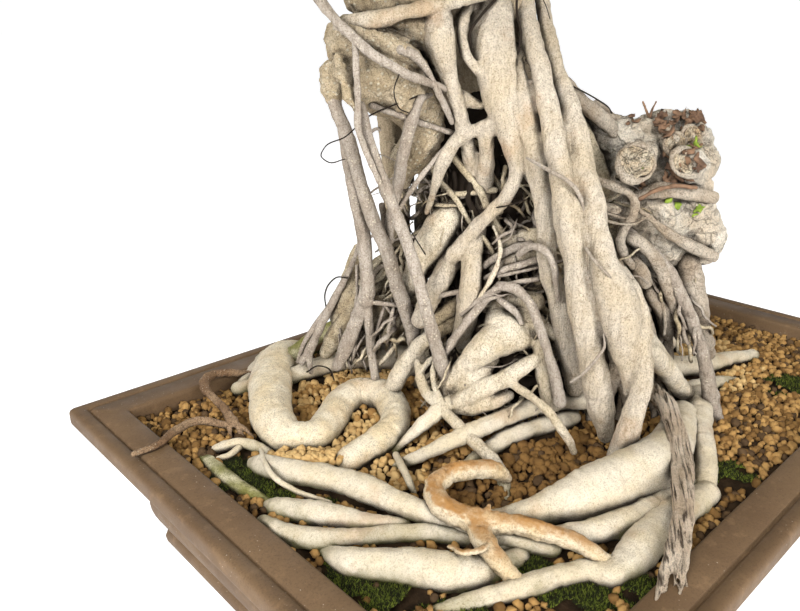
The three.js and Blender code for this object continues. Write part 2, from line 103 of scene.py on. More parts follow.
# Crown
CROWN_LENGTH = 770
CROWN_WIDTH = 640
CROWN_TOP = 885
CROWN_FOOT = 455
FORK_HEIGHT = 585
LOW_MASSES = 5
UPPER_MASSES = 3
LEAF_LENGTH = 52
LEAF_WIDTH = 25
# Sizes of a limb's relief in mean radii
LUMP_SIZE = 2.6
SMALL_LUMP_SIZE = 1.2
RIDGE_SIZE = 0.45
# Sizes of a limb's relief in millimetres, and the radius from which it has its full height
RING_SIZE = 2.6
LEAST_RIDGE = 2.5
GRIT_SIZE = 5.2
FINE_GRIT_SIZE = 2.7
FULL_RELIEF_RADIUS = 6
LEAST_RADIUS = 0.2
DOME_TURNS = np.radians([82, 60, 32])
# Stretch that draws noise out along the upright fibres
UPRIGHT = np.array([1, 1, 0.16])


# Small tools for shapes held as (corners, triangles) arrays

def lattice(i, j, k, seed):
    """A fixed random value from -1 to 1 for each whole-number place."""
    mask = 0xFFFFFFFF
    h = (i * 374761393 + j * 668265263 + k * 1440662683 + seed * 1274126177) & mask
    h = ((h ^ (h >> 13)) * 1274126177) & mask
    return ((h ^ (h >> 16)) & 0xFFFF) / 32767.5 - 1


def noise(points, size, seed):
    """Smooth random values from -1 to 1 with bumps about size across."""
    place = points / size
    cell = np.floor(place).astype(np.int64)
    part = place - cell
    part = part * part * (3 - 2 * part)
    total = np.zeros(len(points))
    for corner in range(8):
        step = np.array([corner & 1, (corner >> 1) & 1, corner >> 2])
        weight = np.prod(np.where(step, part, 1 - part), axis=1)
        at = cell + step
        total += weight * lattice(at[:, 0], at[:, 1], at[:, 2], seed)
    return total


def layered(points, *layers):
    """Noise summed over layers of height, size and seed."""
    return sum(height * noise(points, size, seed) for height, size, seed in layers)


def folded(points, size, seed):
    """Noise folded into creases, from -1 to 1 at the crest."""
    return 1 - 2 * np.abs(noise(points, size, seed))


def unit(vector):
    """The vector at length one."""
    return vector / np.linalg.norm(vector)


def units(vectors):
    """Rows of vectors at length one."""
    return vectors / np.linalg.norm(vectors, axis=1)[:, None]


def joined(shapes):
    """Several shapes as one pair of arrays."""
    corners = []
    faces = []
    start = 0
    for points, triangles in shapes:
        corners.append(points)
        faces.append(triangles + start)
        start += len(points)
    return np.vstack(corners), np.vstack(faces)


def copies(bodies, faces):
    """Many bodies with the same faces as one pair of arrays."""
    count, corners = bodies.shape[:2]
    offsets = (np.arange(count) * corners)[:, None, None]
    return bodies.reshape(-1, 3), (faces[None] + offsets).reshape(-1, 3)


def tube_faces(count, sides):
    """Faces over count rings, closed by fans to two end points that come after the rings."""
    ring = np.arange(sides)
    after = (ring + 1) % sides
    starts = np.arange(count - 1)[:, None] * sides
    a = (starts + ring).reshape(-1)
    b = (starts + after).reshape(-1)
    last = (count - 1) * sides
    end = np.full(sides, count * sides)
    return np.vstack([
        np.c_[a, b, b + sides],
        np.c_[a, b + sides, a + sides],
        np.c_[after, ring, end],
        np.c_[last + ring, last + after, end + 1],
    ])


def lofted(rings):
    """A skin over rings of equal count, closed at both ends with flat fans."""
    ends = [np.mean(rings[0], axis=0), np.mean(rings[-1], axis=0)]
    return np.vstack([*rings, ends]), tube_faces(len(rings), len(rings[0]))


def smooth_line(stations, step):
    """Rows [x, y, z, radius] every step along a smooth line through the stations."""
    rows = np.asarray(stations, float)
    gap = np.linalg.norm(np.diff(rows[:, :3], axis=0), axis=1)
    at = np.r_[0, np.cumsum(gap)]
    places = np.linspace(0, at[-1], max(4, int(at[-1] / step) + 1))
    slope = np.gradient(rows, at, axis=0)
    i = np.clip(np.searchsorted(at, places, side="right") - 1, 0, len(rows) - 2)
    h = gap[i][:, None]
    u = ((places - at[i]) / gap[i])[:, None]
    line = (2 * u**3 - 3 * u**2 + 1) * rows[i] + (u**3 - 2 * u**2 + u) * h * slope[i]
    line += (3 * u**2 - 2 * u**3) * rows[i + 1] + (u**3 - u**2) * h * slope[i + 1]
    return line


def domed(line):
    """The line with round ends added."""
    ends = []
    for here, beside in ((line[0], line[1]), (line[-1], line[-2])):
        outward = unit(here[:3] - beside[:3])
        reach, thick = here[3] * np.sin(DOME_TURNS), here[3] * np.cos(DOME_TURNS)
        ends.append(np.c_[here[:3] + outward * reach[:, None], thick])
    return np.vstack([ends[0], line, ends[1][::-1]])


def limb(stations, sides, step, lumps=0.06, rings=0.2, ridges=0.0, grit=0.0, seed=0):
    """A closed round limb: lumps swell it, rings cross it, ridges run along it and grit roughens it."""
    line = domed(smooth_line(stations, step))
    spine = line[:, :3]
    radius = np.maximum(line[:, 3], LEAST_RADIUS)
    ahead = units(np.gradient(spine, axis=0))
    normal = np.zeros_like(ahead)
    carry = np.cross(ahead[0], [0.31, 0.2, 0.93])
    for i, heading in enumerate(ahead):
        carry = unit(carry - heading * np.dot(carry, heading))
        normal[i] = carry
    side = np.cross(ahead, normal)
    angle = np.linspace(0, FULL_TURN, sides, endpoint=False)[None, :, None]
    outward = (np.cos(angle) * normal[:, None] + np.sin(angle) * side[:, None]).reshape(-1, 3)
    run = np.r_[0, np.cumsum(np.linalg.norm(np.diff(spine, axis=0), axis=1))]
    run = np.repeat(run, sides)
    thick = np.repeat(radius, sides)
    share = np.minimum(1, thick / FULL_RELIEF_RADIUS)
    mean = float(radius.mean())
    skin = np.repeat(spine, sides, axis=0) + outward * thick[:, None]
    swell = lumps * thick * noise(skin, LUMP_SIZE * mean, seed)
    swell += 0.5 * lumps * thick * noise(skin, SMALL_LUMP_SIZE * mean, seed + 1)
    if rings:
        across = np.c_[run, outward[:, 0] * mean * 0.3, outward[:, 2] * mean * 0.3]
        swell += rings * share * noise(across, RING_SIZE, seed + 2)
    if ridges:
        level = outward * mean
        lengthwise = np.c_[run * 0.1, level[:, 0], level[:, 1] + level[:, 2] * 0.7]
        swell += ridges * noise(lengthwise, max(LEAST_RIDGE, RIDGE_SIZE * mean), seed + 3)
    if grit:
        rough = layered(skin, (0.65, GRIT_SIZE, seed + 4), (0.4, FINE_GRIT_SIZE, seed + 5))
        swell += grit * share * rough
    skin = skin + outward * swell[:, None]
    return np.vstack([skin, spine[0], spine[-1]]), tube_faces(len(spine), sides)


def limbs(lines, seed, seed_step, form):
    """A limb of one form along each line of stations, each with its own seed."""
    return [limb(line, seed=seed + seed_step * k, **form) for k, line in enumerate(lines)]


def ball(centre, size, rings, sides):
    """A closed ellipsoid."""
    turn = np.linspace(0, np.pi, rings + 1)[1:-1]
    angle = np.linspace(0, FULL_TURN, sides, endpoint=False)
    skin = [[math.sin(t) * math.cos(a), math.sin(t) * math.sin(a), -math.cos(t)] for t in turn for a in angle]
    points = np.vstack([skin, [[0, 0, -1], [0, 0, 1]]])
    return points * size + centre, tube_faces(len(turn), sides)


def make_mesh(name, shape):
    """A smooth Blender mesh of a shape, set in the part's frame in metres."""
    points, faces = shape
    mesh = bpy.data.meshes.new(name)
    mesh.from_pydata((points * MM + TRAY_MIDDLE).tolist(), [], faces.tolist())
    mesh.shade_smooth()
    return mesh


def piece(name, shape, material, slot, nodes=()):
    """A visible piece that rides on the body and stands for the named solids."""
    mesh = make_mesh(name, shape)
    mesh.materials.append(material)
    obj = bpy.data.objects.new(name, mesh)
    bpy.context.scene.collection.objects.link(obj)
    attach(obj, "root")
    if nodes:
        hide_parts(*nodes)
    return obj


def fused(shapes, voxel, rounds):
    """Overlapping limbs grown into one skin: returns corners, faces and normals."""
    obj = bpy.data.objects.new("fusing", make_mesh("fusing", joined(shapes)))
    bpy.context.scene.collection.objects.link(obj)
    remesh = obj.modifiers.new("remesh", "REMESH")
    remesh.mode = "VOXEL"
    remesh.voxel_size = voxel * MM
    soften = obj.modifiers.new("soften", "SMOOTH")
    soften.factor = 0.5
    soften.iterations = rounds
    skin = obj.evaluated_get(bpy.context.evaluated_depsgraph_get()).to_mesh()
    corners = np.zeros(len(skin.vertices) * 3)
    skin.vertices.foreach_get("co", corners)
    normals = np.zeros(len(skin.vertices) * 3)
    skin.vertex_normals.foreach_get("vector", normals)
    faces = np.zeros(len(skin.loops), int)
    skin.loops.foreach_get("vertex_index", faces)
    points = (corners.reshape(-1, 3) - TRAY_MIDDLE) / MM
    bpy.data.objects.remove(obj)
    return points, faces.reshape(-1, 4), normals.reshape(-1, 3)


def raised(skin, relief):
    """A fused skin moved out along its normals by the relief."""
    corners, faces, normals = skin
    return corners + normals * relief[:, None], faces


def random_source(seed):
    """The seeded generator that the solids use too."""
    mask = 0xFFFFFFFF
    state = [seed & mask]

    def roll():
        """The next value from 0 to 1."""
        state[0] = (state[0] + 0x6D2B79F5) & mask
        t = state[0]
        t = ((t ^ (t >> 15)) * (t | 1)) & mask
        t ^= (t + (((t ^ (t >> 7)) * (t | 61)) & mask)) & mask
        return ((t ^ (t >> 14)) & mask) / 4294967296

    return roll


def soil_top(x, y):
    """Height of the soil."""
    away = np.hypot(x - BASE[0], y - BASE[1]) / MOUND_SPREAD
    return SOIL_EDGE + SOIL_MOUND * np.exp(-away * away)


CAMERA_RIGHT = np.array([math.cos(CAMERA_TURN), math.sin(CAMERA_TURN), 0])
CAMERA_LEVEL = np.array([-math.sin(CAMERA_TURN), math.cos(CAMERA_TURN), 0])
CAMERA_AHEAD = CAMERA_LEVEL * math.cos(CAMERA_DOWN) - np.array([0, 0, math.sin(CAMERA_DOWN)])
CAMERA_UNDER = np.cross(CAMERA_AHEAD, CAMERA_RIGHT)


def ray_through(x, y):
    """Heading from the camera through a photo place, one long along the camera's view."""
    right = (x - IMAGE_WIDTH / 2) / FOCAL_PIXELS * CAMERA_RIGHT
    return CAMERA_AHEAD + right + (y - IMAGE_HEIGHT / 2) / FOCAL_PIXELS * CAMERA_UNDER


def seen(stations):
    """Rows [photo x, photo y, distance ahead of the camera, photo radius] turned to [x, y, z, radius]."""
    rows = []
    for x, y, ahead, radius in stations:
        rows.append([*(CAMERA_PLACE + ahead * ray_through(x, y)), radius * ahead / FOCAL_PIXELS])
    return rows


def laid(stations):
    """Rows [photo x, photo y, height over the soil, photo radius] turned to [x, y, z, radius]."""
    rows = []
    for x, y, height, radius in stations:
        ray = ray_through(x, y)
        rise = SOIL_EDGE + height
        for _ in range(5):
            ahead = (rise - CAMERA_PLACE[2]) / ray[2]
            place = CAMERA_PLACE + ahead * ray
            rise = soil_top(place[0], place[1]) + height
        rows.append([*place, radius * ahead / FOCAL_PIXELS])
    return rows


# Materials

BARK_ROUGHNESS = 0.85
BARK_DEPTH = 0.003
NOOK_SAMPLES = 4
# Tones in screen values 0 to 255
RUST_TONE = (190, 146, 98)
CRACK_TONE = (44, 33, 24)
PORE_TONE = (74, 56, 40)
LENTICEL_TONE = (230, 218, 192)
# The next two tones are painted shade for creases and hollows
CREASE_SHADE_TONE = (50, 36, 23)
HOLLOW_SHADE_TONE = (36, 27, 18)
MOSS_TONE = (112, 110, 50)
# Noise: bumps a metre, detail, roughness
FINE_NOISE = (1150, 4, 0.8)
COARSE_NOISE = (300, 7, 0.75)
FIBRE_NOISE = (480, 5, 0.6)
# Patterns: bumps a metre, value that shows none, value that shows all, detail, roughness
BLOTCHES = (42, 0.36, 0.66, 5, 0.6)
SPECKLES = (360, 0.5, 0.78, 6, 0.72)
RUST_PATCHES = (24, 0.56, 0.7, 4, 0.6)
CRACK_PATCHES = (60, 0.36, 0.56, 3)
STAIN_PATCHES = (60, 0.2, 0.62, 6, 0.7)
MOSS_PATCHES = (45, 0.42, 0.6, 3)
# Dots: dots a metre, size, patches a metre, shift of the pattern
PORE_DOTS = (980, 0.3, 90, 0.13)
CLAY_FLECKS = (300, 0.13, 30, 0.27)
# Lenticels, with dots a metre set by each bark: size, patches a metre, shift of the pattern
LENTICEL_DOTS = (0.36, 130, 0.41)
# Painted shade in nooks: reach in metres, openness that shows none, openness that shows all
PAINTED_CREASE_SHADE = (0.009, 0.82, 0.3)
PAINTED_HOLLOW_SHADE = (0.032, 0.52, 0.08)
# Heights in metres over which the soil's stain and moss fade
STAIN_HEIGHTS = (0.135, 0.146)
MOSS_HEIGHTS = (0.142, 0.127)


def linear(tone):
    """A tone given by its screen values 0 to 255 as a colour for a shader."""
    return tuple(((c / 255 + 0.055) / 1.055) ** 2.4 if c > 10 else c / 3294 for c in tone)


def node(tree, kind, links=(), **values):
    """A node with its settings, inputs and incoming links."""
    made = tree.nodes.new(kind)
    for key, value in values.items():
        if key in made.inputs:
            made.inputs[key].default_value = value
        else:
            setattr(made, key, value)
    for socket, source in dict(links).items():
        tree.links.new(source, made.inputs[socket])
    return made


class Finish:
    """A material in the making, with its colour and its height so far."""

    def __init__(self, name, roughness):
        self.made = bpy.data.materials.new(name)
        self.made.use_nodes = True
        self.tree = self.made.node_tree
        self.shader = self.tree.nodes["Principled BSDF"]
        self.shader.inputs["Roughness"].default_value = roughness
        self.place = self.node("ShaderNodeTexCoord").outputs["Object"]
        self.colour = None
        self.height = None

    def node(self, kind, links=(), **values):
        """A node of this material."""
        return node(self.tree, kind, links, **values)

    def vector(self, operation, first, second):
        """Two vectors put together; the second may be a constant."""
        made = self.node("ShaderNodeVectorMath", {0: first}, operation=operation)
        if isinstance(second, tuple):
            made.inputs[1].default_value = second
        else:
            self.tree.links.new(second, made.inputs[1])
        return made.outputs

    def noise(self, scale, detail=3.0, roughness=0.55, place=None):
        """Soft noise over the object, scale in bumps a metre."""
        links = {"Vector": self.place if place is None else place}
        made = self.node("ShaderNodeTexNoise", links, Scale=scale, Detail=detail, Roughness=roughness)
        return made.outputs["Fac"]

    def span(self, value, low, high):
        """The value spread from low and high to 0 and 1."""
        made = self.node("ShaderNodeMapRange", {"Value": value}, interpolation_type="SMOOTHSTEP")
        made.inputs["From Min"].default_value = low
        made.inputs["From Max"].default_value = high
        return made.outputs["Result"]

    def patches(self, scale, low, high, detail=3.0, roughness=0.55):
        """Noise spread to patches of 0 and 1."""
        return self.span(self.noise(scale, detail, roughness), low, high)

    def times(self, first, second):
        """Two values multiplied; the second may be a number."""
        made = self.node("ShaderNodeMath", {0: first}, operation="MULTIPLY")
        if isinstance(second, (int, float)):
            made.inputs[1].default_value = second
        else:
            self.tree.links.new(second, made.inputs[1])
        return made.outputs[0]

    def plus(self, first, second):
        """Two values added."""
        return self.node("ShaderNodeMath", {0: first, 1: second}, operation="ADD").outputs[0]

    def upward(self, vector):
        """The vector's upright part."""
        return self.node("ShaderNodeSeparateXYZ", {0: vector}).outputs["Z"]

    def dots(self, scale, size, patch, shift, cover=0.0):
        """Small round spots, 1 inside, thinned out by a patchy noise."""
        moved = self.vector("ADD", self.place, (shift, shift * 0.7, shift * 0.3))
        cells = self.node("ShaderNodeTexVoronoi", {"Vector": moved[0]}, Scale=scale)
        spot = self.span(cells.outputs["Distance"], size, size * 0.45)
        return self.times(spot, self.patches(patch, 0.46 - cover, 0.62 - cover, 2))

    def painted_nook_shade(self, reach, low, high):
        """1 where the skin is closed in within the reach, 0 where it lies open: the mask of painted shade."""
        closed = self.node("ShaderNodeAmbientOcclusion", Distance=reach, samples=NOOK_SAMPLES)
        return self.span(closed.outputs["AO"], low, high)

    def paint(self, share, tone, strength=1.0, ground=None):
        """Lays a tone by a share over the ground tone or over the colour so far."""
        made = self.node("ShaderNodeMix", {0: self.times(share, strength)}, data_type="RGBA")
        made.inputs[7].default_value = (*linear(tone), 1)
        if ground:
            made.inputs[6].default_value = (*linear(ground), 1)
        else:
            self.tree.links.new(self.colour, made.inputs[6])
        self.colour = made.outputs[2]

    def lift(self, value, amount):
        """Adds an amount of a value to the height so far."""
        self.height = self.plus(self.height, self.times(value, amount))

    def finished(self, bump, depth, specular):
        """The material with its colour and height linked to the shader."""
        inputs = self.shader.inputs
        self.tree.links.new(self.colour, inputs["Base Color"])
        inputs["Specular IOR Level"].default_value = specular
        relief = self.node("ShaderNodeBump", {"Height": self.height}, Strength=bump, Distance=depth)
        self.tree.links.new(relief.outputs["Normal"], inputs["Normal"])
        return self.made


def add_age(skin, low, high, tone):
    """A tone that fades in with height along a wavy line."""
    wavy = skin.plus(skin.upward(skin.place), skin.times(skin.noise(30, 4), 0.04))
    skin.paint(skin.span(wavy, low, high), tone)


def add_cracks(skin, strength, scale):
    """Dark broken lines between plates of bark."""
    bent = skin.node("ShaderNodeTexNoise", {"Vector": skin.place}, Scale=70, Detail=4)
    shift = skin.node("ShaderNodeVectorMath", {0: bent.outputs["Color"]}, operation="SCALE", Scale=0.03)
    moved = skin.vector("ADD", skin.place, shift.outputs[0])
    links = {"Vector": moved[0]}
    plates = skin.node("ShaderNodeTexVoronoi", links, feature="DISTANCE_TO_EDGE", Scale=scale)
    gap = skin.span(plates.outputs["Distance"], 0.08, 0.01)
    broken = skin.times(gap, skin.patches(*CRACK_PATCHES))
    skin.paint(broken, CRACK_TONE, strength)
    skin.lift(broken, -1.4 * strength)


def add_stain(skin, tone):
    """A patchy tone on faces that look up, clear of the soil."""
    facing = skin.node("ShaderNodeNewGeometry").outputs["Normal"]
    upper = skin.span(skin.upward(facing), 0.35, 0.95)
    clear = skin.span(skin.upward(skin.place), *STAIN_HEIGHTS)
    skin.paint(skin.times(skin.times(upper, skin.patches(*STAIN_PATCHES)), clear), tone)


def add_fibres(skin, tone, strength, grain):
    """Streaks and fine ridges along the grain."""
    run = skin.vector("DOT_PRODUCT", skin.place, grain)["Value"]
    course = skin.node("ShaderNodeVectorMath", {"Scale": run}, operation="SCALE")
    course.inputs[0].default_value = tuple(-0.93 * axis for axis in grain)
    drawn = skin.vector("ADD", skin.place, course.outputs[0])
    strands = skin.noise(*FIBRE_NOISE, drawn[0])
    skin.paint(skin.span(strands, 0.47, 0.64), tone, strength)
    skin.lift(strands, 1.6)


def bark(name, base, warm, dark, pale_dots=0.0, pores=0.45, mottle=0.5, moss=0.0, fibre=0.0, bump=0.7,
         stain=None, dot_scale=480, dot_cover=0.0, cracks=0.0, crack_scale=110, rust=0.0,
         grain=(0.0, 0.0, 1.0), aged=None):
    """Fig bark: blotches, fibres, mottling, pores, pale lenticels, painted shade in creases and hollows,
    green by the soil.
    """
    skin = Finish(name, BARK_ROUGHNESS)
    skin.paint(skin.patches(*BLOTCHES), warm, ground=base)
    if aged:
        add_age(skin, *aged)
    skin.paint(skin.patches(*SPECKLES), dark, mottle)
    fine = skin.noise(*FINE_NOISE)
    skin.paint(skin.span(fine, 0.48, 0.64), dark, 0.9 * mottle)
    skin.height = skin.noise(*COARSE_NOISE)
    skin.lift(fine, 0.6)
    if rust:
        skin.paint(skin.patches(*RUST_PATCHES), RUST_TONE, rust)
    if cracks:
        add_cracks(skin, cracks, crack_scale)
    if stain:
        add_stain(skin, stain)
    if fibre:
        add_fibres(skin, dark, fibre, grain)
    pore = skin.dots(*PORE_DOTS)
    skin.paint(pore, PORE_TONE, pores)
    skin.lift(pore, -0.4)
    if pale_dots:
        lenticel = skin.dots(dot_scale, *LENTICEL_DOTS, dot_cover)
        skin.paint(lenticel, LENTICEL_TONE, pale_dots)
        skin.lift(lenticel, 0.5)
    # Painted shade: darker colour in creases and hollows, wherever ambient occlusion finds the skin closed in
    skin.paint(skin.painted_nook_shade(*PAINTED_CREASE_SHADE), CREASE_SHADE_TONE, 0.92)
    skin.paint(skin.painted_nook_shade(*PAINTED_HOLLOW_SHADE), HOLLOW_SHADE_TONE, 0.74)
    if moss:
        low = skin.span(skin.upward(skin.place), *MOSS_HEIGHTS)
        skin.paint(skin.times(low, skin.patches(*MOSS_PATCHES)), MOSS_TONE, moss)
    return skin.finished(bump, BARK_DEPTH, 0.25)


def grainy(name, base, other, scale, roughness, bump, specular=0.3):
    """A plain colour broken by noise, with a fine grain."""
    skin = Finish(name, roughness)
    skin.paint(skin.patches(scale, 0.35, 0.7, 5, 0.6), other, ground=base)
    skin.height = skin.noise(scale * 9, 4, 0.65)
    return skin.finished(bump, 0.0006, specular)


def clay_material():
    """Unglazed taupe clay: cloudy tone, fine sand and a few pale specks."""
    skin = Finish("clay", 0.62)
    skin.paint(skin.patches(14, 0.3, 0.72, 5, 0.6), (110, 87, 61), ground=(94, 72, 49))
    skin.paint(skin.patches(900, 0.46, 0.72, 3, 0.7), (78, 58, 40), 0.6)
    skin.paint(skin.patches(110, 0.52, 0.72, 6, 0.7), (132, 104, 74), 0.5)
    skin.paint(skin.dots(*CLAY_FLECKS), (196, 182, 164), 0.6)
    skin.tree.links.new(skin.patches(60, -1.2, 1.6), skin.shader.inputs["Roughness"])
    skin.height = skin.noise(1100, 4, 0.7)
    return skin.finished(0.25, 0.0005, 0.35)


PALE = bark("pale_bark", (231, 219, 197), (222, 206, 175), (146, 122, 90),
            pores=0.35, mottle=0.48, moss=0.4, rust=0.35)
LOOP = bark("loop_bark", (243, 231, 206), (234, 214, 176), (138, 110, 74),
            pores=0.7, mottle=0.6, moss=0.3, rust=0.3)
TRUNK = bark("trunk_bark", (232, 219, 199), (222, 205, 177), (130, 107, 80),
             pores=0.55, mottle=0.75, fibre=0.22, bump=0.9, rust=0.4)
BOLE_BARK = bark("bole_bark", (208, 196, 178), (196, 179, 154), (124, 103, 78),
                 pores=0.5, mottle=0.75, fibre=0.25, rust=0.4, aged=(0.52, 0.43, (212, 193, 163)))
SHOULDER_BARK = bark("shoulder_bark", (222, 204, 174), (206, 184, 148), (112, 88, 58),
                     pale_dots=0.9, mottle=0.75, bump=1.0, dot_scale=310, dot_cover=0.42,
                     cracks=0.2, crack_scale=90, aged=(0.43, 0.49, (206, 192, 172)))
GREY = bark("grey_bark", (194, 182, 168), (170, 156, 140), (106, 92, 78),
            pale_dots=0.8, pores=0.3, mottle=0.8, fibre=0.3)
STRAP_TOP = [660, 400, 30, 1]
STRAP_FOOT = [682, 522, 20, 1]
STRAP_HEADING = unit(np.diff(laid([STRAP_TOP, STRAP_FOOT]), axis=0)[0, :3])
STRAP = bark("strap_bark", (236, 218, 194), (208, 184, 156), (58, 43, 31),
             mottle=0.4, fibre=0.95, bump=1.0, grain=tuple(STRAP_HEADING))
BROWN = bark("brown_root", (164, 136, 106), (128, 98, 70), (66, 49, 35), pale_dots=0.3, mottle=1.0)
TANGLE = bark("tangle_bark", (234, 222, 200), (214, 197, 166), (112, 92, 66),
              mottle=0.75, fibre=0.15, moss=0.4, rust=0.25, cracks=0.15, crack_scale=120)
# A darker copy of the pale bark: painted shade for roots that stand in shade
SHADE_ROOT = bark("shaded_bark", (222, 208, 180), (190, 171, 138), (84, 67, 46), mottle=0.9, cracks=0.3)
STUMP_ROOT = bark("stump_root_bark", (222, 208, 188), (194, 174, 149), (92, 74, 57),
                  mottle=0.75, bump=1.0, cracks=0.2)
# Near-black bark: painted shade for the mound, the dark limbs behind the roots, the stump's foot and half the
# thin fill roots; also the dark colour of the thin hairs
DARK_ROOTS_AND_PAINTED_SHADE = bark("dark_roots_and_painted_shade", (46, 36, 26), (34, 26, 18), (20, 15, 11), mottle=0.8)
ORANGE = bark("orange_root", (232, 216, 186), (222, 199, 158), (144, 108, 70),
              mottle=0.7, stain=(180, 131, 74))
MOSSY = bark("mossy_root", (222, 212, 178), (136, 132, 70), (62, 58, 30), mottle=0.8, moss=0.8)
STUMP = bark("stump_bark", (246, 236, 218), (230, 212, 186), (96, 76, 58),
             mottle=0.6, pale_dots=0.6, bump=1.0, cracks=0.4, crack_scale=80)
PEEL = grainy("peeling_bark", (134, 104, 80), (78, 58, 45), 160, 0.85, 0.9)
SCAR = bark("sawn_wood", (244, 232, 206), (214, 184, 144), (88, 64, 44),
            mottle=0.8, bump=1.0, cracks=0.6, crack_scale=160)
LIME = grainy("lime_moss", (150, 170, 66), (108, 128, 44), 200, 0.9, 0.8)
CLAY = clay_material()
SOIL = grainy("soil_bed", (66, 50, 34), (34, 26, 18), 70, 1.0, 0.9, specular=0.1)


# Tray: overhanging rim with a groove, a hollow neck and two swelling bands over four block feet

CRISP_EDGE = math.radians(50)
# The wall's section from the middle of the floor, out, up over the rim and back: inset, height
WALL = [
    (150, 8), (54, 8), (50, 10), (46, 15), (43, 21), (40.6, 25), (40, 29), (41.5, 34), (44, 36),
    (43.6, 37.2), (41, 38.5), (38, 42.5), (36, 47), (34.5, 52.5), (34, 58), (34.4, 64), (35.5, 70),
    (38, 77), (37.4, 84), (36, 92), (33.5, 99), (30, 106), (26.4, 111.4), (22, 116), (18.8, 119),
    (17.6, 120.6), (15, 121.2), (4, 121.6), (1.6, 122.2), (0.4, 123.4), (0, 125), (0, 131.5), (0.4, 133.4),
    (1.6, 134.6), (3.4, 135), (8.8, 135), (9.3, 134.4), (9.8, 133.2), (10.6, 132.9), (11.4, 133.2),
    (11.9, 134.4), (12.4, 135), (28.6, 135), (30.2, 134.5), (30.9, 133.2), (31, 131), (32, 122), (36, 112),
    (50, 78), (54, 34), (60, 22), (150, 22),
]
# A foot's section: share of its plan, height
FOOT_RINGS = [(0.94, 0), (1, 1.5), (1, FOOT_HEIGHT + 1)]


def oblong_ring(half_x, half_y, round_by, steps):
    """Plan of an oblong with its four corners rounded."""
    points = []
    for quarter, (sx, sy) in enumerate(QUARTERS):
        for turn in np.linspace(0, 90, steps):
            angle = math.radians(turn + 90 * quarter)
            points.append([sx * (half_x - round_by) + round_by * math.cos(angle),
                           sy * (half_y - round_by) + round_by * math.sin(angle)])
    return np.array(points)


def at_height(plan, height):
    """A plan's points at a height."""
    return np.c_[plan, np.full(len(plan), height)]


def tray_shape():
    """The tray's skin and its feet."""
    rings = []
    for inset, height in WALL:
        plan = oblong_ring(TRAY_LENGTH / 2 - inset, TRAY_WIDTH / 2 - inset, CORNER_ROUND, 5)
        rings.append(at_height(plan, height))
    shapes = [lofted(rings)]
    plan = oblong_ring(FOOT_LENGTH / 2, FOOT_WIDTH / 2, FOOT_ROUND, 3)
    reach = np.array([TRAY_LENGTH - FOOT_LENGTH, TRAY_WIDTH - FOOT_WIDTH]) / 2 - FOOT_INSET
    for quarter in QUARTERS:
        rings = [at_height(reach * quarter + share * plan, height) for share, height in FOOT_RINGS]
        shapes.append(lofted(rings))
    return joined(shapes)


def build_tray():
    """The tray as one piece with crisp edges."""
    obj = piece("clay_tray", tray_shape(), CLAY, "clay", ["tray"])
    obj.data.set_sharp_from_angle(angle=CRISP_EDGE)


# Upper trunk: a leaning bole with its boughs, the old swollen shoulder and the columns of the far side

BOLE = [
    [-52, 27, FORK_HEIGHT, 29], [-84, 42, 505, 46], [-88, 42, 430, 57], [-75, 32, 370, 57],
    [-58, 29, 318, 34], [-42, 22, 250, 24], [-28, 16, 180, 33], [-25, 14, 110, 42],
]
BOLE_CORE = [
    [-52, 27, FORK_HEIGHT, 29], [-82, 42, 505, 45], [-82, 46, 450, 50], [-72, 52, 410, 42],
    [-62, 54, 370, 30], [-54, 48, 335, 24],
]
LOWER_CORE = [
    [-60, 52, 360, 22], [-52, 40, 318, 20], [-42, 24, 250, 20], [-28, 16, 180, 33], [-25, 14, 118, 42],
]
# Turns of the far columns in degrees
FAR_COLUMN_START = 112
FAR_COLUMN_STEP = 34
# Boughs: radii at the bole, their shares half way and at the mass, and heights of the low ones
TOP_BOUGH = 27
UPPER_BOUGH = 17
LOW_BOUGH = 20
BOUGH_TAPER = (0.68, 0.42)
LOWEST_BOUGH = 462
BOUGH_RISE = 13
# Half sizes of the masses of foliage
LOW_SIZE = [150, 140, 92]
UPPER_SIZE = [150, 135, 88]
TOP_SIZE = [150, 135, 98]
MASS_GAP = 1.5


def hidden_column(k):
    """A column on the far side, by the solids' rule."""
    turn = math.radians(FAR_COLUMN_START - FAR_COLUMN_STEP * k)
    roll = random_source(SEED + k)
    spread = COLUMN_SPREAD * (0.9 + 0.35 * roll())
    thick = 8 + 4 * roll()
    # Middle x, middle y, reach from the middle, height, share of the radius
    levels = [
        (-80, 36, 36, 405, 1.5),
        (-68, 28, 50, 345, 1),
        (-48, 18, spread - 8, 265, 0.85),
        (*BASE, spread + 12, 185, 1),
        (*BASE, spread + 30, 118, 1.5),
    ]
    return [[x + out * math.cos(turn), y + out * math.sin(turn), z, thick * share]
            for x, y, out, z, share in levels]


class Mass:
    """One mass of foliage: an ellipsoid cut by the planes half way to its neighbours."""

    def __init__(self, name, turn_degrees, ring, rise, size):
        self.name = name
        self.turn = math.radians(turn_degrees)
        self.size = np.array(size, float)
        reach = np.array([CROWN_LENGTH / 2 - size[0], CROWN_WIDTH / 2 - size[1]]) * ring
        self.centre = np.array([math.cos(self.turn) * reach[0], math.sin(self.turn) * reach[1], rise])
        self.normals = None
        self.limits = None

    def fence(self, others):
        """Sets the planes towards the other masses."""
        away = np.array([other.centre - self.centre for other in others])
        self.normals = units(away)
        self.limits = self.normals @ self.centre + np.linalg.norm(away, axis=1) / 2 - MASS_GAP

    def holds(self, point, margin):
        """True where the point lies in the mass."""
        local = (point - self.centre) / self.size
        if math.sqrt(local @ local) > 1 - margin / self.size[2]:
            return False
        return bool(np.all(self.normals @ point < self.limits - margin))


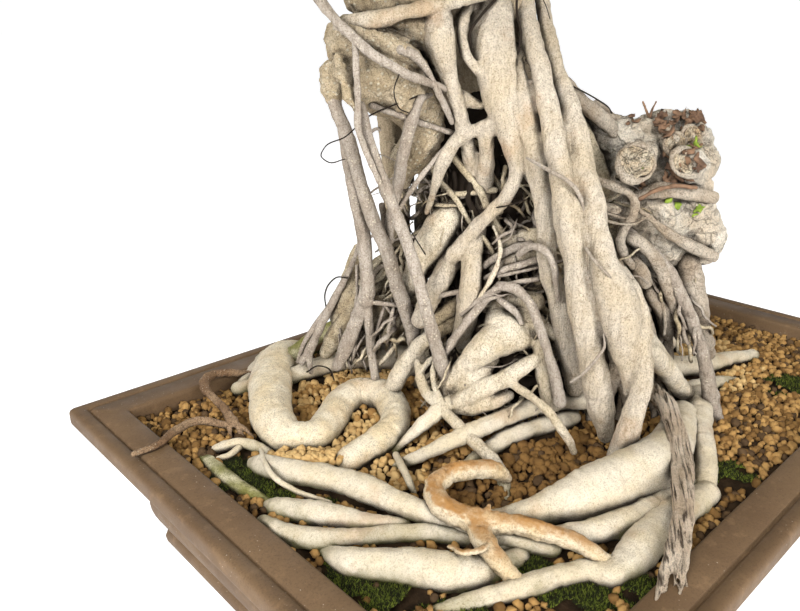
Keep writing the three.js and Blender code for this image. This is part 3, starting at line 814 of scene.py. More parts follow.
def make_masses():
    """The low ring, the upper ring and the top."""
    masses = []
    for k in range(LOW_MASSES):
        rise = CROWN_FOOT + 92 + 14 * (k % 2)
        masses.append(Mass(f"foliage_low_{k + 1}", 180 + 72 * k, 1, rise, LOW_SIZE))
    for k in range(UPPER_MASSES):
        rise = CROWN_FOOT + 218 + 10 * k
        masses.append(Mass(f"foliage_upper_{k + 1}", 150 + 120 * k, 0.62, rise, UPPER_SIZE))
    masses.append(Mass("foliage_top", 0, 0.05, CROWN_TOP - 98, TOP_SIZE))
    for mass in masses:
        mass.fence([other for other in masses if other is not mass])
    return masses


def along_height(rows, height, column):
    """A column of rows [x, y, z, radius], listed from the top down, at a height."""
    table = np.array(rows)[::-1]
    return np.interp(height, table[:, 2], table[:, column])


def bole_at(height):
    """Middle of the bole at a height."""
    return np.array([along_height(BOLE, height, 0), along_height(BOLE, height, 1), height])


def bough_stations(masses):
    """Each mass's bough as stations on the bole, half way and at the mass."""
    rows = []
    for k, mass in enumerate(masses):
        if mass.name == "foliage_top":
            start = bole_at(FORK_HEIGHT - 14)
            end = mass.centre + (start - mass.centre) * 0.42
            bend = [12, -8, 0]
            thick = TOP_BOUGH
        else:
            upper = k >= LOW_MASSES
            thick = UPPER_BOUGH if upper else LOW_BOUGH
            low_start = LOWEST_BOUGH + BOUGH_RISE * ((k * 2) % LOW_MASSES)
            start = bole_at(FORK_HEIGHT - 26 - 4 * k if upper else low_start)
            end = mass.centre + (start - mass.centre) * 0.34 - [0, 0, 14]
            bend = [10 * math.sin(mass.turn), -10 * math.cos(mass.turn), -12 + 18 * (k % 2)]
        middle = (start + end) / 2 + bend
        rows.append([[*start, thick], [*middle, thick * BOUGH_TAPER[0]], [*end, thick * BOUGH_TAPER[1]]])
    return rows


# Parts of the old shoulder as the photograph shows them: rows [photo x, photo y, distance, photo radius]
SHOULDER = {
    "lump": [
        [352, 44, 424, 28], [374, 66, 432, 46], [396, 86, 440, 37], [416, 108, 450, 26],
        [424, 134, 460, 19], [412, 160, 470, 15], [400, 178, 478, 10],
    ],
    "brow": [[372, -46, 424, 40], [392, -14, 424, 44], [420, 2, 430, 36]],
    "knob": [[336, 70, 415, 12], [332, 84, 413, 13.5], [333, 97, 414, 9]],
    "web": [
        [392, 18, 416, 10], [412, 24, 418, 14], [428, 30, 420, 17.4], [437, 42, 422, 15.6],
        [441, 54, 427, 13], [445, 67, 433, 11], [451, 84, 440, 8.6],
    ],
    "fork": [
        [352, 28, 404, 6.5], [374, 37, 403, 8], [393, 47, 405, 9], [410, 54, 410, 8], [420, 62, 416, 6],
    ],
    "knob_arm": [[338, 60, 406, 5], [341, 76, 403, 5.8], [347, 92, 403, 5], [356, 106, 406, 4.4]],
}
# Dark limbs in the gaps behind the roots, painted shade: rows [photo x, photo y, distance, photo radius]
SHADE_BACKING_LIMBS = [
    [
        [486, 70, 470, 14], [500, 110, 474, 18], [510, 160, 482, 20], [518, 205, 488, 20],
        [520, 250, 494, 22],
    ],
    [
        [434, 236, 530, 12], [412, 258, 532, 18], [392, 286, 536, 22], [372, 318, 544, 22],
        [360, 340, 556, 18],
    ],
]
# Old root between the columns and the stump: rows [photo x, photo y, distance, photo radius]
NECK = [
    [562, 96, 470, 10], [580, 140, 478, 15], [598, 190, 486, 18], [612, 240, 490, 20], [622, 300, 492, 21],
    [630, 350, 500, 20],
]

# Forms of limbs: sides, step along the limb, relief
BOLE_FORM = dict(sides=56, step=3, lumps=0.09, rings=0.5, ridges=2.2)
FAR_COLUMN_FORM = dict(sides=26, step=2, lumps=0.1, rings=0.3, ridges=0.7)
BOUGH_FORM = dict(sides=26, step=3, lumps=0.1, rings=0.4, ridges=0.8)
SHOULDER_FORM = dict(sides=34, step=2, lumps=0.07, rings=0.25)
CORE_FORM = dict(sides=40, step=3, lumps=0.14, rings=0.6, ridges=2)
SHADE_BACKING_FORM = dict(sides=30, step=3, lumps=0.16, rings=0.6, ridges=1.6)
NECK_FORM = dict(sides=36, step=2, lumps=0.16, rings=0.5, ridges=1.2, grit=0.8)
# Grids on which limbs are fused
TRUNK_VOXEL = 1.86
SHOULDER_VOXEL = 1.2
# Relief: height, size, seed
TRUNK_FIBRES = (0.6, 3.2, 21)
TRUNK_GRIT = (0.35, 2.4, 22)
MOUND_BUMPS = [(5, 26, 5), (3, 11, 6)]


def build_trunk(boughs):
    """Bole, far columns and boughs grown into one skin with the bark's relief."""
    shapes = [limb(BOLE_CORE, seed=3, **BOLE_FORM)]
    columns = map(hidden_column, range(HIDDEN_COLUMNS))
    shapes += limbs(columns, 11, 5, FAR_COLUMN_FORM)
    shapes += limbs(boughs, 83, 7, BOUGH_FORM)
    skin = fused(shapes, TRUNK_VOXEL, 2)
    relief = layered(skin[0] * UPRIGHT, TRUNK_FIBRES) + layered(skin[0], TRUNK_GRIT)
    nodes = ["trunk"] + [f"bough_{k + 1}" for k in range(len(boughs))]
    piece("trunk_and_boughs", raised(skin, relief), BOLE_BARK, "bark", nodes)


def build_shoulder():
    """The mottled old shoulder, warty and creased."""
    shapes = limbs(map(seen, SHOULDER.values()), 161, 5, SHOULDER_FORM)
    skin = fused(shapes, SHOULDER_VOXEL, 1)
    warts = np.maximum(noise(skin[0], 4.2, 25), 0)
    folds = folded(skin[0] * [1, 1, 1.8], 16, 23)
    relief = 1.3 * folds + 1.9 * warts + 0.7 * noise(skin[0], 2.4, 24) - 0.6
    piece("old_shoulder", raised(skin, relief), SHOULDER_BARK, "bark")


def build_mound():
    """The mound of old roots under the columns, painted dark as shade, and the old root beside it."""
    shapes = [limb(LOWER_CORE, seed=6, **CORE_FORM)]
    middle = np.array([*BASE, SOIL_EDGE])
    core, faces = ball(middle, [*(CORE_RADIUS * CORE_STRETCH), CORE_TOP - SOIL_EDGE], 40, 64)
    bumps = layered(core, *MOUND_BUMPS) - 3
    shapes.append((core + units(core - middle) * bumps[:, None], faces))
    shapes += limbs(map(seen, SHADE_BACKING_LIMBS), 8, 3, SHADE_BACKING_FORM)
    # The mound and the limbs behind the roots carry painted shade
    piece("root_mound", joined(shapes), DARK_ROOTS_AND_PAINTED_SHADE, "bark")
    piece("old_neck", limb(seen(NECK), seed=14, **NECK_FORM), SHADE_ROOT, "bark")


# Front columns as the photograph shows them: rows [photo x, photo y, distance, photo radius]
COLUMNS = {
    "left_column": [
        [480, -110, 462, 14], [486, -60, 452, 18], [489, -20, 443, 20], [489, 12, 436, 21],
        [490, 38, 432, 21.4], [493, 58, 431, 20], [496, 80, 431, 18.6], [500, 102, 432, 17.2],
        [507, 125, 434, 14.4], [513, 148, 437, 11], [517, 165, 439, 8.6], [515, 180, 441, 7.4],
        [508, 194, 446, 6.8], [497, 207, 452, 6.6], [482, 222, 461, 6.7], [466, 240, 470, 7.8],
        [452, 257, 477, 8.6],
    ],
    "thin_column": [
        [511, -70, 454, 3.6], [512, -30, 444, 4], [510, 0, 434, 4.2], [509, 20, 428, 4.4],
        [511, 45, 424, 4.5], [512, 70, 423, 4.3], [514, 95, 424, 3.9], [520, 122, 426, 3.4],
        [525, 142, 429, 2.4],
    ],
    "split_column": [
        [516, 44, 436, 3.4], [519, 62, 430, 5], [522, 80, 428, 7], [526, 102, 428, 9], [530, 122, 430, 9.8],
        [534, 148, 432, 12.2], [538, 172, 434, 12.6], [542, 197, 437, 9.8], [545, 220, 440, 9.2],
        [546, 243, 443, 8.8], [548, 266, 447, 9.6], [555, 289, 453, 10], [560, 314, 459, 10.2],
        [564, 337, 466, 9.8], [569, 360, 473, 9.4], [575, 388, 483, 9],
    ],
    "long_column": [
        [508, -120, 472, 8], [516, -70, 456, 8.2], [522, -30, 447, 8.4], [526, 0, 440, 8.7],
        [528, 20, 434, 9.4], [532, 41, 428, 10.4], [538, 61, 424, 10.3], [543, 82, 422, 9.9],
        [547, 102, 421, 10.4], [551, 122, 420, 10.9], [556, 143, 420, 11.3], [561, 172, 420, 12],
        [565, 192, 420, 13.6], [567, 210, 420, 14.8], [571, 232, 422, 13.9], [575, 255, 425, 12.8],
        [577, 278, 428, 12], [581, 300, 431, 13.6], [586, 318, 434, 15], [589, 337, 438, 15],
        [592, 360, 443, 14], [596, 383, 448, 14.2], [601, 406, 453, 13.8], [604, 424, 459, 9.6],
        [605, 437, 466, 7],
    ],
    "right_column": [
        [520, -110, 474, 7], [532, -60, 462, 7], [540, -20, 454, 7.2], [544, 12, 447, 7.4],
        [549, 41, 440, 7.8], [555, 61, 434, 8.4], [561, 82, 430, 9.3], [568, 102, 427, 9.9],
        [573, 122, 425, 11], [579, 143, 423, 11.4], [583, 160, 422, 11.4], [587, 176, 421, 11.6],
        [592, 197, 421, 11.9], [595, 220, 421, 12.5], [600, 243, 421, 12.6], [604, 262, 421, 14.2],
        [610, 280, 421, 17.4], [617, 300, 422, 20], [621, 316, 423, 20.6], [622, 334, 426, 17.5],
        [623, 352, 429, 12.5], [627, 374, 434, 7], [628, 392, 440, 4],
    ],
    "right_leg": [
        [624, 312, 430, 13], [636, 333, 428, 11], [642, 350, 427, 10.2], [643, 372, 428, 10.4],
        [640, 395, 430, 10.4], [632, 418, 432, 11], [625, 441, 437, 12], [616, 462, 446, 11],
    ],
    "right_lobe": [
        [622, 272, 426, 6], [630, 288, 424, 8.6], [637, 304, 425, 9], [642, 320, 427, 8.6],
        [645, 337, 430, 7],
    ],
    "inner_column": [
        [436, 14, 420, 15], [438, 30, 414, 15.6], [440, 44, 413, 14], [444, 56, 416, 11.6],
        [447, 70, 421, 10], [451, 86, 427, 9], [457, 104, 435, 8.4], [464, 130, 446, 8],
        [469, 150, 456, 7.6], [474, 170, 467, 8.6], [480, 188, 477, 10], [482, 203, 483, 9.6],
        [477, 222, 487, 9.8], [468, 240, 488, 11], [453, 258, 485, 11.2], [441, 279, 481, 11.2],
        [431, 298, 480, 10], [420, 320, 486, 9],
    ],
    "inner_post": [
        [489, 124, 438, 7], [487, 134, 441, 8.6], [487, 148, 447, 7.8], [486, 166, 458, 8.8],
        [484, 186, 470, 9.4], [481, 206, 480, 8.4],
    ],
    "cross_branch": [
        [508, 121, 436, 6.6], [486, 127, 437, 6.4], [467, 134, 444, 7.2], [451, 147, 449, 6.8],
        [442, 164, 453, 6.4], [437, 180, 458, 5], [432, 196, 468, 4], [428, 212, 480, 3],
    ],
    "curl_ridge": [
        [478, -26, 430, 5], [471, 0, 425, 5], [464, 18, 421, 5], [462, 40, 420, 5], [466, 56, 421, 5],
        [475, 67, 424, 5.4], [484, 76, 430, 5],
    ],
    "low_post": [
        [480, 214, 479, 8.6], [477, 232, 475, 9.6], [473, 252, 472, 10.6], [471, 274, 471, 11.4],
        [470, 298, 473, 11.6], [467, 318, 479, 11], [461, 340, 488, 9.6],
    ],
    "sash": [
        [338, 28, 414, 5], [347, 24, 406, 8], [360, 22, 402, 8.8], [380, 19, 400, 8.6], [404, 13, 401, 8.2],
        [432, 7, 405, 7.6], [468, -2, 413, 7.2], [500, -14, 424, 7],
    ],
    "behind_cross": [[446, 92, 440, 5], [462, 98, 438, 6.4], [480, 106, 438, 5]],
}
COLUMN_FORM = dict(sides=40, step=2, lumps=0.1, ridges=0.5)
COLUMN_VOXEL = 1.08
COLUMN_FIBRES = (0.55, 3.4, 21)
COLUMN_GRIT = [(0.45, 6.5, 22), (0.22, 2.4, 23)]


def build_columns():
    """Pale columns grown together along their seams."""
    shapes = limbs(map(seen, COLUMNS.values()), 120, 7, COLUMN_FORM)
    skin = fused(shapes, COLUMN_VOXEL, 1)
    relief = layered(skin[0] * UPRIGHT, COLUMN_FIBRES) + layered(skin[0], *COLUMN_GRIT)
    piece("columns", raised(skin, relief), TRUNK, "bark")


# Roots of the tangle as the photograph shows them: rows [photo x, photo y, distance, photo radius]
PALE_TANGLE = {
    "leaning_root": [
        [464, 192, 492, 8], [457, 204, 487, 13], [446, 221, 484, 16.5], [432, 242, 484, 16.5],
        [419, 262, 488, 13], [410, 282, 496, 10], [402, 300, 506, 9],
    ],
    "ringed_root": [[452, 250, 494, 8], [436, 258, 495, 9], [418, 264, 498, 8.6], [404, 272, 506, 8]],
    "knuckle_high": [[446, 193, 497, 6], [456, 190, 493, 7], [470, 190, 490, 6.4]],
    "knuckle_low": [[463, 200, 493, 5.4], [464, 211, 492, 6.2], [468, 223, 491, 5.6]],
    "knee_top": [
        [494, 311, 476, 8], [499, 322, 471, 15], [508, 332, 468, 18], [519, 338, 468, 14],
        [530, 340, 470, 8],
    ],
    "knee": [
        [514, 332, 470, 17], [499, 339, 467, 18], [484, 349, 466, 15.6], [469, 362, 469, 12],
        [454, 377, 474, 9.2], [443, 391, 480, 7.6],
    ],
    "knee_under": [[492, 358, 476, 7], [485, 364, 473, 11], [473, 376, 473, 13], [460, 392, 479, 11.6]],
    "plate_a": [[496, 266, 476, 8], [514, 260, 470, 11], [534, 256, 464, 9]],
    "plate_b": [[486, 306, 480, 7], [508, 298, 474, 9.4], [536, 302, 468, 9]],
    "plate_c": [[522, 318, 470, 9], [540, 324, 468, 10], [556, 334, 468, 8]],
    "cut_root": [
        [537, 358, 464, 7], [524, 367, 463, 8.6], [501, 380, 464, 9], [480, 390, 466, 9.6],
        [460, 402, 470, 10], [444, 412, 478, 8],
    ],
    "lying_root": [[446, 402, 475, 7.4], [468, 407, 470, 8.6], [490, 402, 470, 8], [508, 396, 474, 6]],
    "tan_diagonal": [
        [432, 336, 492, 8.4], [425, 341, 494, 8.6], [411, 357, 500, 8.8], [400, 374, 506, 8.6],
        [393, 388, 512, 8],
    ],
    "tan_block": [[540, 345, 466, 8], [544, 364, 468, 10], [549, 384, 470, 11], [553, 402, 474, 10]],
    "cone_root": [[533, 236, 462, 9.6], [519, 240, 468, 9.4], [505, 244, 474, 7], [492, 250, 482, 5]],
    "stump_side_a": [[636, 333, 446, 9], [648, 340, 458, 9.6], [658, 352, 470, 9], [668, 366, 482, 7]],
    "stump_side_b": [[650, 350, 452, 9.6], [667, 370, 480, 10.2], [680, 387, 505, 9.4], [692, 400, 532, 7]],
    "white_slip": [[404, 333, 504, 2], [392, 350, 512, 2.3], [380, 363, 520, 2.2]],
    "pale_hook": [
        [493, 226, 462, 2], [500, 243, 459, 2.4], [499, 260, 459, 2.5], [489, 283, 462, 2.5],
        [478, 301, 466, 2.2],
    ],
    "crossing_pale": [
        [505, 380, 466, 3.8], [520, 389, 458, 4.2], [534, 399, 452, 4.3], [548, 411, 447, 4.3],
        [558, 424, 444, 4.2], [568, 439, 444, 4], [574, 452, 448, 3.4],
    ],
    "left_slip": [
        [418, 362, 490, 4], [421, 378, 483, 5.2], [428, 394, 476, 6], [446, 413, 465, 6.2],
        [474, 442, 452, 6.6], [493, 460, 444, 6.8], [502, 474, 438, 6.6], [505, 490, 431, 5.6],
        [505, 506, 422, 4],
    ],
    "left_slip_fork": [[417, 378, 484, 3], [425, 366, 484, 3.4], [435, 357, 482, 3.2]],
    "twisted_slip": [[436, 356, 478, 3], [433, 376, 474, 3.2], [438, 394, 470, 3.2], [448, 409, 466, 3]],
}
SHADE_TANGLE = {
    "far_post": [[426, 160, 524, 7], [425, 190, 524, 7.5], [423, 215, 526, 8.4], [422, 240, 532, 8.4]],
    "lump_tail": [[408, 140, 476, 7], [398, 158, 480, 8], [396, 178, 486, 7], [404, 200, 494, 5]],
    "shade_root_a": [[436, 318, 486, 8], [452, 308, 486, 8.4], [466, 300, 488, 8]],
    "shade_root_b": [[438, 331, 488, 7], [450, 324, 488, 7.6], [462, 318, 490, 7]],
    "shade_root_c": [[404, 300, 508, 8], [420, 310, 504, 8.6], [440, 320, 498, 7]],
    "shade_root_d": [[384, 316, 520, 6], [396, 322, 514, 7.4], [412, 324, 508, 7]],
    "back_broad": [[359, 250, 515, 7], [354, 272, 520, 10], [348, 296, 526, 11], [338, 318, 536, 9]],
    "left_foot": [
        [360, 286, 520, 8], [352, 306, 526, 10], [343, 324, 534, 10.4], [331, 342, 545, 9.4],
        [326, 352, 552, 7],
    ],
    "flank_a": [
        [444, 214, 512, 8], [424, 238, 514, 10], [402, 262, 518, 11], [378, 290, 524, 11],
        [352, 320, 534, 10],
    ],
    "flank_b": [
        [428, 252, 506, 8], [408, 278, 510, 9.6], [388, 304, 516, 10], [370, 330, 524, 9],
        [358, 352, 534, 7],
    ],
    "flank_c": [[420, 240, 520, 7], [394, 254, 524, 8.6], [372, 272, 528, 9], [352, 298, 534, 8]],
    "flank_d": [[436, 268, 500, 4], [412, 284, 504, 4.4], [392, 296, 508, 4.2], [376, 300, 512, 3.6]],
    "flank_e": [[430, 286, 498, 5], [412, 300, 502, 6], [398, 318, 506, 6], [386, 338, 514, 5.4]],
    "flank_f": [[380, 244, 520, 3], [388, 270, 514, 3.4], [384, 300, 512, 3.4], [378, 330, 518, 3]],
    "flank_g": [[400, 246, 516, 2.6], [380, 262, 518, 3], [358, 284, 522, 3], [342, 308, 530, 2.6]],
}
GREY_TANGLE = {
    "grey_sweep": [
        [500, 286, 462, 5], [512, 287, 457, 5.2], [522, 294, 453, 4.8], [531, 306, 451, 4.6],
        [540, 328, 450, 4.8], [548, 354, 452, 5.2], [555, 378, 456, 5.8], [560, 402, 461, 6.6],
    ],
    "grey_slant": [
        [500, 286, 463, 4.6], [490, 295, 464, 4.8], [475, 312, 466, 4.8], [460, 331, 469, 4.8],
        [447, 349, 473, 4.6], [437, 364, 478, 4.2],
    ],
    "grey_cross": [
        [538, 279, 455, 2.6], [512, 284, 459, 3], [493, 291, 462, 3.2], [478, 302, 466, 3.2],
        [462, 314, 472, 2.8],
    ],
    "grey_arm_a": [[538, 260, 455, 3.4], [520, 265, 459, 3.7], [501, 271, 463, 3.8], [486, 278, 469, 3]],
    "grey_arm_b": [[540, 267, 456, 1.8], [518, 272, 460, 2], [498, 276, 464, 2]],
    "grey_arm_c": [[530, 245, 457, 4.2], [512, 249, 462, 4], [498, 256, 466, 3.8], [484, 266, 472, 3.4]],
    "grey_arm_d": [[499, 299, 463, 3.6], [508, 306, 461, 3.8], [517, 314, 460, 3.6], [521, 323, 460, 3]],
    "grey_rung": [
        [428, 302, 478, 2.4], [440, 296, 476, 2.6], [452, 293, 475, 2.6], [466, 292, 474, 2.5],
        [484, 294, 474, 2],
    ],
    "grey_drop": [[458, 291, 474, 1.7], [459, 310, 476, 2], [459, 330, 482, 1.8]],
    "grey_straight": [
        [452, 140, 448, 2.5], [438, 156, 452, 2.7], [419, 179, 457, 2.7], [398, 210, 463, 2.6],
    ],
    "grey_needle": [[448, 198, 490, 2], [434, 217, 495, 2.2], [417, 240, 502, 2]],
    "grey_twig_a": [[421, 182, 482, 1.4], [444, 181, 480, 1.5], [468, 183, 480, 1.3]],
    "grey_twig_b": [[450, 168, 478, 1.6], [458, 184, 480, 2], [467, 201, 484, 2.3]],
    "fork_tail": [
        [400, 50, 403, 5], [414, 55, 407, 5], [424, 66, 411, 4.4], [433, 82, 417, 3.8],
        [445, 106, 428, 3.4], [452, 122, 440, 3],
    ],
    "grey_band": [
        [372, 105, 424, 2.8], [390, 112, 428, 3.2], [410, 119, 436, 3.2], [436, 128, 445, 3],
        [455, 134, 450, 2.6],
    ],
    "curved_strap": [
        [519, 254, 452, 3], [527, 248, 445, 3.6], [537, 247, 436, 3.8], [547, 252, 432, 3.6],
        [553, 262, 433, 3.4], [556, 284, 441, 3], [558, 300, 446, 2.4],
    ],
    "seam_root": [
        [527, 158, 424, 1.6], [538, 164, 419, 2], [550, 171, 412, 2.2], [563, 178, 408, 2.3],
        [574, 187, 409, 2.4], [581, 199, 413, 2.6], [583, 213, 418, 2.2],
    ],
    "seam_root_low": [
        [586, 248, 416, 1.5], [593, 259, 412, 1.7], [603, 270, 410, 1.6], [612, 279, 412, 1.2],
    ],
    "leg_slip": [
        [604, 333, 424, 1.4], [604, 348, 424, 1.6], [597, 358, 426, 1.7], [585, 372, 430, 1.6],
        [571, 382, 438, 1.3],
    ],
    "prop_branch_arm": [
        [368, 302, 495, 2.4], [380, 303, 494, 2.3], [395, 305, 494, 2.2], [419, 307, 496, 1.8],
    ],
    "thin_drop_a": [[386, 306, 497, 1.8], [393, 316, 500, 1.9], [393, 334, 508, 1.7], [391, 350, 514, 1.4]],
    "thin_drop_b": [[385, 305, 500, 1.8], [380, 320, 506, 1.9], [374, 338, 514, 1.5]],
    "thin_drop_c": [[357, 266, 492, 1.4], [357, 284, 498, 1.6], [358, 300, 502, 1.5]],
    "reddish_stub": [[382, 206, 468, 3.6], [386, 222, 474, 4.2], [391, 240, 482, 4]],
    "shoulder_root": [
        [350, -140, 398, 6], [334, -104, 394, 5.6], [319, -52, 396, 5.4], [313, -12, 401, 5.4],
        [324, 6, 400, 5.6], [340, 24, 397, 5.6], [357, 41, 396, 5.2], [372, 54, 396, 4.7],
        [390, 65, 399, 4.5], [408, 75, 404, 4.4], [424, 81, 412, 4.1], [440, 87, 422, 3.8],
        [456, 93, 432, 3.6], [478, 103, 444, 3.2],
    ],
    "shoulder_drop": [
        [355, 44, 397, 3], [356, 70, 396, 3.5], [358, 100, 401, 3.5], [358, 127, 407, 3.7],
        [364, 146, 413, 3.4], [375, 172, 420, 3.2], [387, 196, 428, 2.8],
    ],
    "slant_prop": [
        [444, 92, 440, 1.8], [430, 95, 433, 2.6], [420, 99, 429, 4.6], [416, 108, 431, 5.6],
        [409, 132, 438, 6], [402, 160, 446, 5.9], [397, 192, 456, 5.6], [391, 214, 463, 5],
        [389, 238, 471, 4.4],
    ],
}
# Aerial props that stand for solids, each with its strands
PROPS = {
    "prop_inner": [
        [
            [333, 92, 412, 7], [336, 108, 417, 6.6], [346, 132, 427, 6.7], [352, 152, 434, 6.7],
            [361, 185, 446, 6.7], [373, 220, 457, 6.9], [386, 250, 467, 6.9], [398, 289, 483, 7.1],
            [407, 315, 494, 7.6], [416, 343, 507, 8],
        ],
    ],
    "prop_outer": [
        [
            [341, 122, 428, 4.4], [346, 148, 438, 5.8], [355, 195, 456, 6.3], [363, 233, 471, 6.8],
            [366, 266, 484, 7], [367, 290, 492, 7.8], [366, 300, 496, 8.4],
        ],
        [[366, 294, 495, 6.5], [360, 313, 503, 7.2], [349, 340, 516, 7.2], [337, 366, 530, 5.6]],
        [[367, 298, 496, 5], [369, 325, 505, 4.3], [371, 350, 514, 4.1], [376, 380, 524, 4.2]],
    ],
    "prop_front": [
        [
            [361, 106, 412, 5], [365, 124, 415, 5.8], [370, 144, 419, 6], [383, 181, 427, 6.1],
            [396, 213, 434, 6.2], [408, 246, 442, 6.3], [418, 278, 450, 6.4], [428, 316, 460, 6.6],
            [437, 347, 468, 7], [446, 375, 475, 7.6], [454, 397, 482, 8],
        ],
    ],
    "prop_far_left": [
        [
            [361, 238, 494, 2], [357, 251, 499, 2.4], [348, 273, 508, 3], [335, 298, 520, 3.7],
            [320, 328, 535, 4.3], [310, 348, 546, 4.6], [302, 362, 553, 3.6],
        ],
        [[313, 342, 543, 4], [309, 358, 549, 3.6], [311, 372, 552, 2.6]],
        [[334, 300, 521, 2.4], [318, 322, 534, 2.8], [304, 344, 546, 2.6], [298, 362, 556, 2]],
    ],
}
# Thin dark hairs
HAIRS = [
    [
        [421, 95, 428, 1], [394, 105, 424, 1], [366, 118, 418, 0.9], [345, 137, 414, 0.8],
        [325, 147, 412, 0.7], [321, 156, 412, 0.7], [328, 162, 414, 0.7], [345, 159, 420, 0.6],
    ],
    [[400, 72, 400, 0.7], [394, 90, 404, 0.7], [399, 108, 412, 0.7], [409, 113, 420, 0.6]],
    [
        [347, 278, 506, 0.8], [338, 277, 508, 0.8], [329, 284, 512, 0.8], [325, 294, 518, 0.8],
        [326, 308, 526, 0.7],
    ],
    [[540, -6, 436, 0.5], [546, 6, 436, 0.5], [550, 19, 436, 0.4]],
    [
        [572, 86, 440, 0.8], [584, 92, 448, 0.8], [598, 100, 456, 0.8], [609, 108, 466, 0.7],
        [613, 116, 474, 0.6],
    ],
    [[499, -4, 424, 1.4], [480, 17, 418, 1.5], [470, 33, 417, 1.4], [471, 47, 420, 1]],
    [[517, -10, 430, 1.2], [517, 14, 424, 1.3], [521, 36, 418, 1.3], [518, 54, 418, 1]],
    [
        [468, 232, 478, 0.7], [474, 217, 476, 0.8], [488, 209, 455, 0.8], [510, 205, 442, 0.8],
        [525, 200, 440, 0.7],
    ],
    [[408, 226, 438, 0.7], [420, 246, 470, 0.7], [434, 268, 486, 0.6]],
    [[307, 372, 546, 0.8], [318, 366, 540, 0.8], [330, 370, 536, 0.8], [334, 380, 536, 0.7]],
]
# Crowded thin roots: photo x range, photo y range, distance range, lean in degrees, spread, number,
# largest photo radius
CROWDS = [
    ((488, 560), (205, 335), (458, 482), -18, 30, 60, 2.6),
    ((418, 500), (160, 236), (470, 498), 10, 55, 60, 2.0),
    ((502, 536), (176, 244), (456, 468), 62, 45, 26, 2.2),
    ((384, 444), (225, 350), (492, 512), 125, 24, 56, 2.4),
    ((356, 386), (290, 346), (505, 520), 112, 12, 14, 2.2),
    ((380, 440), (120, 200), (462, 484), 100, 50, 24, 1.8),
    ((432, 560), (348, 420), (464, 478), 150, 40, 34, 1.6),
    ((640, 702), (262, 352), (472, 492), 72, 16, 28, 2.6),
    ((592, 640), (178, 300), (456, 476), 20, 60, 30, 1.9),
    ((330, 396), (336, 360), (516, 536), 105, 14, 9, 1.7),
]
# Forms of the tangle's limbs
PALE_FORM = dict(sides=26, step=2, lumps=0.13, ridges=0.3)
SHADE_FORM = dict(sides=24, step=1.6, lumps=0.16, rings=0.4, ridges=0.5, grit=0.8)
GREY_FORM = dict(sides=18, step=1.4, lumps=0.14, rings=0.25, ridges=0.3, grit=0.5)
PROP_FORM = dict(sides=26, step=1.3, lumps=0.12, rings=0.3, ridges=0.35, grit=0.6)
HAIR_FORM = dict(sides=6, step=1.5, lumps=0, rings=0)
CROWD_FORM = dict(sides=9, step=2.0, lumps=0.2, rings=0)
FILL_FORM = dict(sides=9, step=4.0, lumps=0.15, rings=0)
FAR_STRAND_FORM = dict(sides=14, step=2.5, lumps=0.15, rings=0.25, ridges=0.3)
TANGLE_VOXEL = 1.0
TANGLE_GRIT = [(0.4, 6.5, 25), (0.25, 3.2, 26), (0.15, 1.8, 27)]
# Half length in photo pixels, and how deep the ends dive
CROWD_REACH = (9, 26)
CROWD_DIVE = 22
FILL_ROOTS = 230
FILL_HEIGHTS = (140, 320)
FILL_RADII = [1.0, 1.5, 2.1, 3.0, 4.4]
FILL_CHANCES = [0.22, 0.3, 0.24, 0.15, 0.09]
FAR_STRANDS = 34
# Degrees round the mound
FAR_STRAND_START = -66
FAR_STRAND_ARC = 196
FAR_STRAND_HEIGHTS = (235, 338)
FAR_STRAND_RADII = (2.4, 6.0)
STRAND_FOOT = 121


def core_reach(height):
    """How far the mound and the lower bole reach from their middle at a height."""
    rise = min(max((height - SOIL_EDGE) / (CORE_TOP - SOIL_EDGE), 0), 0.999)
    return max(along_height(LOWER_CORE, height, 3), CORE_RADIUS * math.sqrt(1 - rise * rise))


def round_core(height, swing, out):
    """A place at a height, a turn and a distance from the lower bole's middle."""
    x = along_height(LOWER_CORE, height, 0) + out * math.cos(swing)
    return [x, along_height(LOWER_CORE, height, 1) + out * math.sin(swing), height]


def crowd_roots():
    """Short thin roots that arch out of the mass and back into it."""
    rng = np.random.default_rng(SEED + 9)
    lines = []
    for (left, right), (top, bottom), distances, lean, spread, count, thick in CROWDS:
        for _ in range(count):
            middle = np.array([rng.uniform(left, right), rng.uniform(top, bottom)])
            angle = math.radians(lean + spread * rng.normal())
            along = np.array([math.cos(angle), math.sin(angle)])
            across = np.array([-along[1], along[0]])
            reach = rng.uniform(*CROWD_REACH)
            bow = rng.normal(0, 0.16)
            ahead = rng.uniform(*distances)
            radius = thick * rng.uniform(0.35, 1.0) ** 1.5
            rows = []
            for t in np.linspace(-1, 1, 7):
                aside = bow * (1 - t * t) + 0.05 * rng.normal()
                place = middle + along * reach * t + across * reach * aside
                depth = ahead + CROWD_DIVE * t**4 + rng.normal(0, 1.0)
                rows.append([*place, depth, radius * (1 - 0.25 * t)])
            lines.append(seen(rows))
    return limbs(lines, 2100, 1, CROWD_FORM)


def fill_roots():
    """Many thin roots that wind round the mound behind the larger ones."""
    rng = np.random.default_rng(SEED)
    lines = []
    for _ in range(FILL_ROOTS):
        turn = rng.uniform(0, FULL_TURN)
        height = rng.uniform(*FILL_HEIGHTS)
        foot = max(120, height - rng.uniform(10, 130))
        drift = rng.normal(0, 0.9)
        proud = rng.uniform(0, 11)
        thick = rng.choice(FILL_RADII, p=FILL_CHANCES)
        stations = []
        for along in np.linspace(0, 1, 7):
            z = height + (foot - height) * along**1.2
            swing = turn + drift * along + 0.08 * rng.normal()
            spread = 26 * max(0, (160 - z) / 60) * along
            out = core_reach(z) + proud + spread + 2.5 * rng.normal()
            stations.append([*round_core(z, swing, out), thick * (1 - 0.35 * along)])
        lines.append(stations)
    return limbs(lines, 700, 1, FILL_FORM)


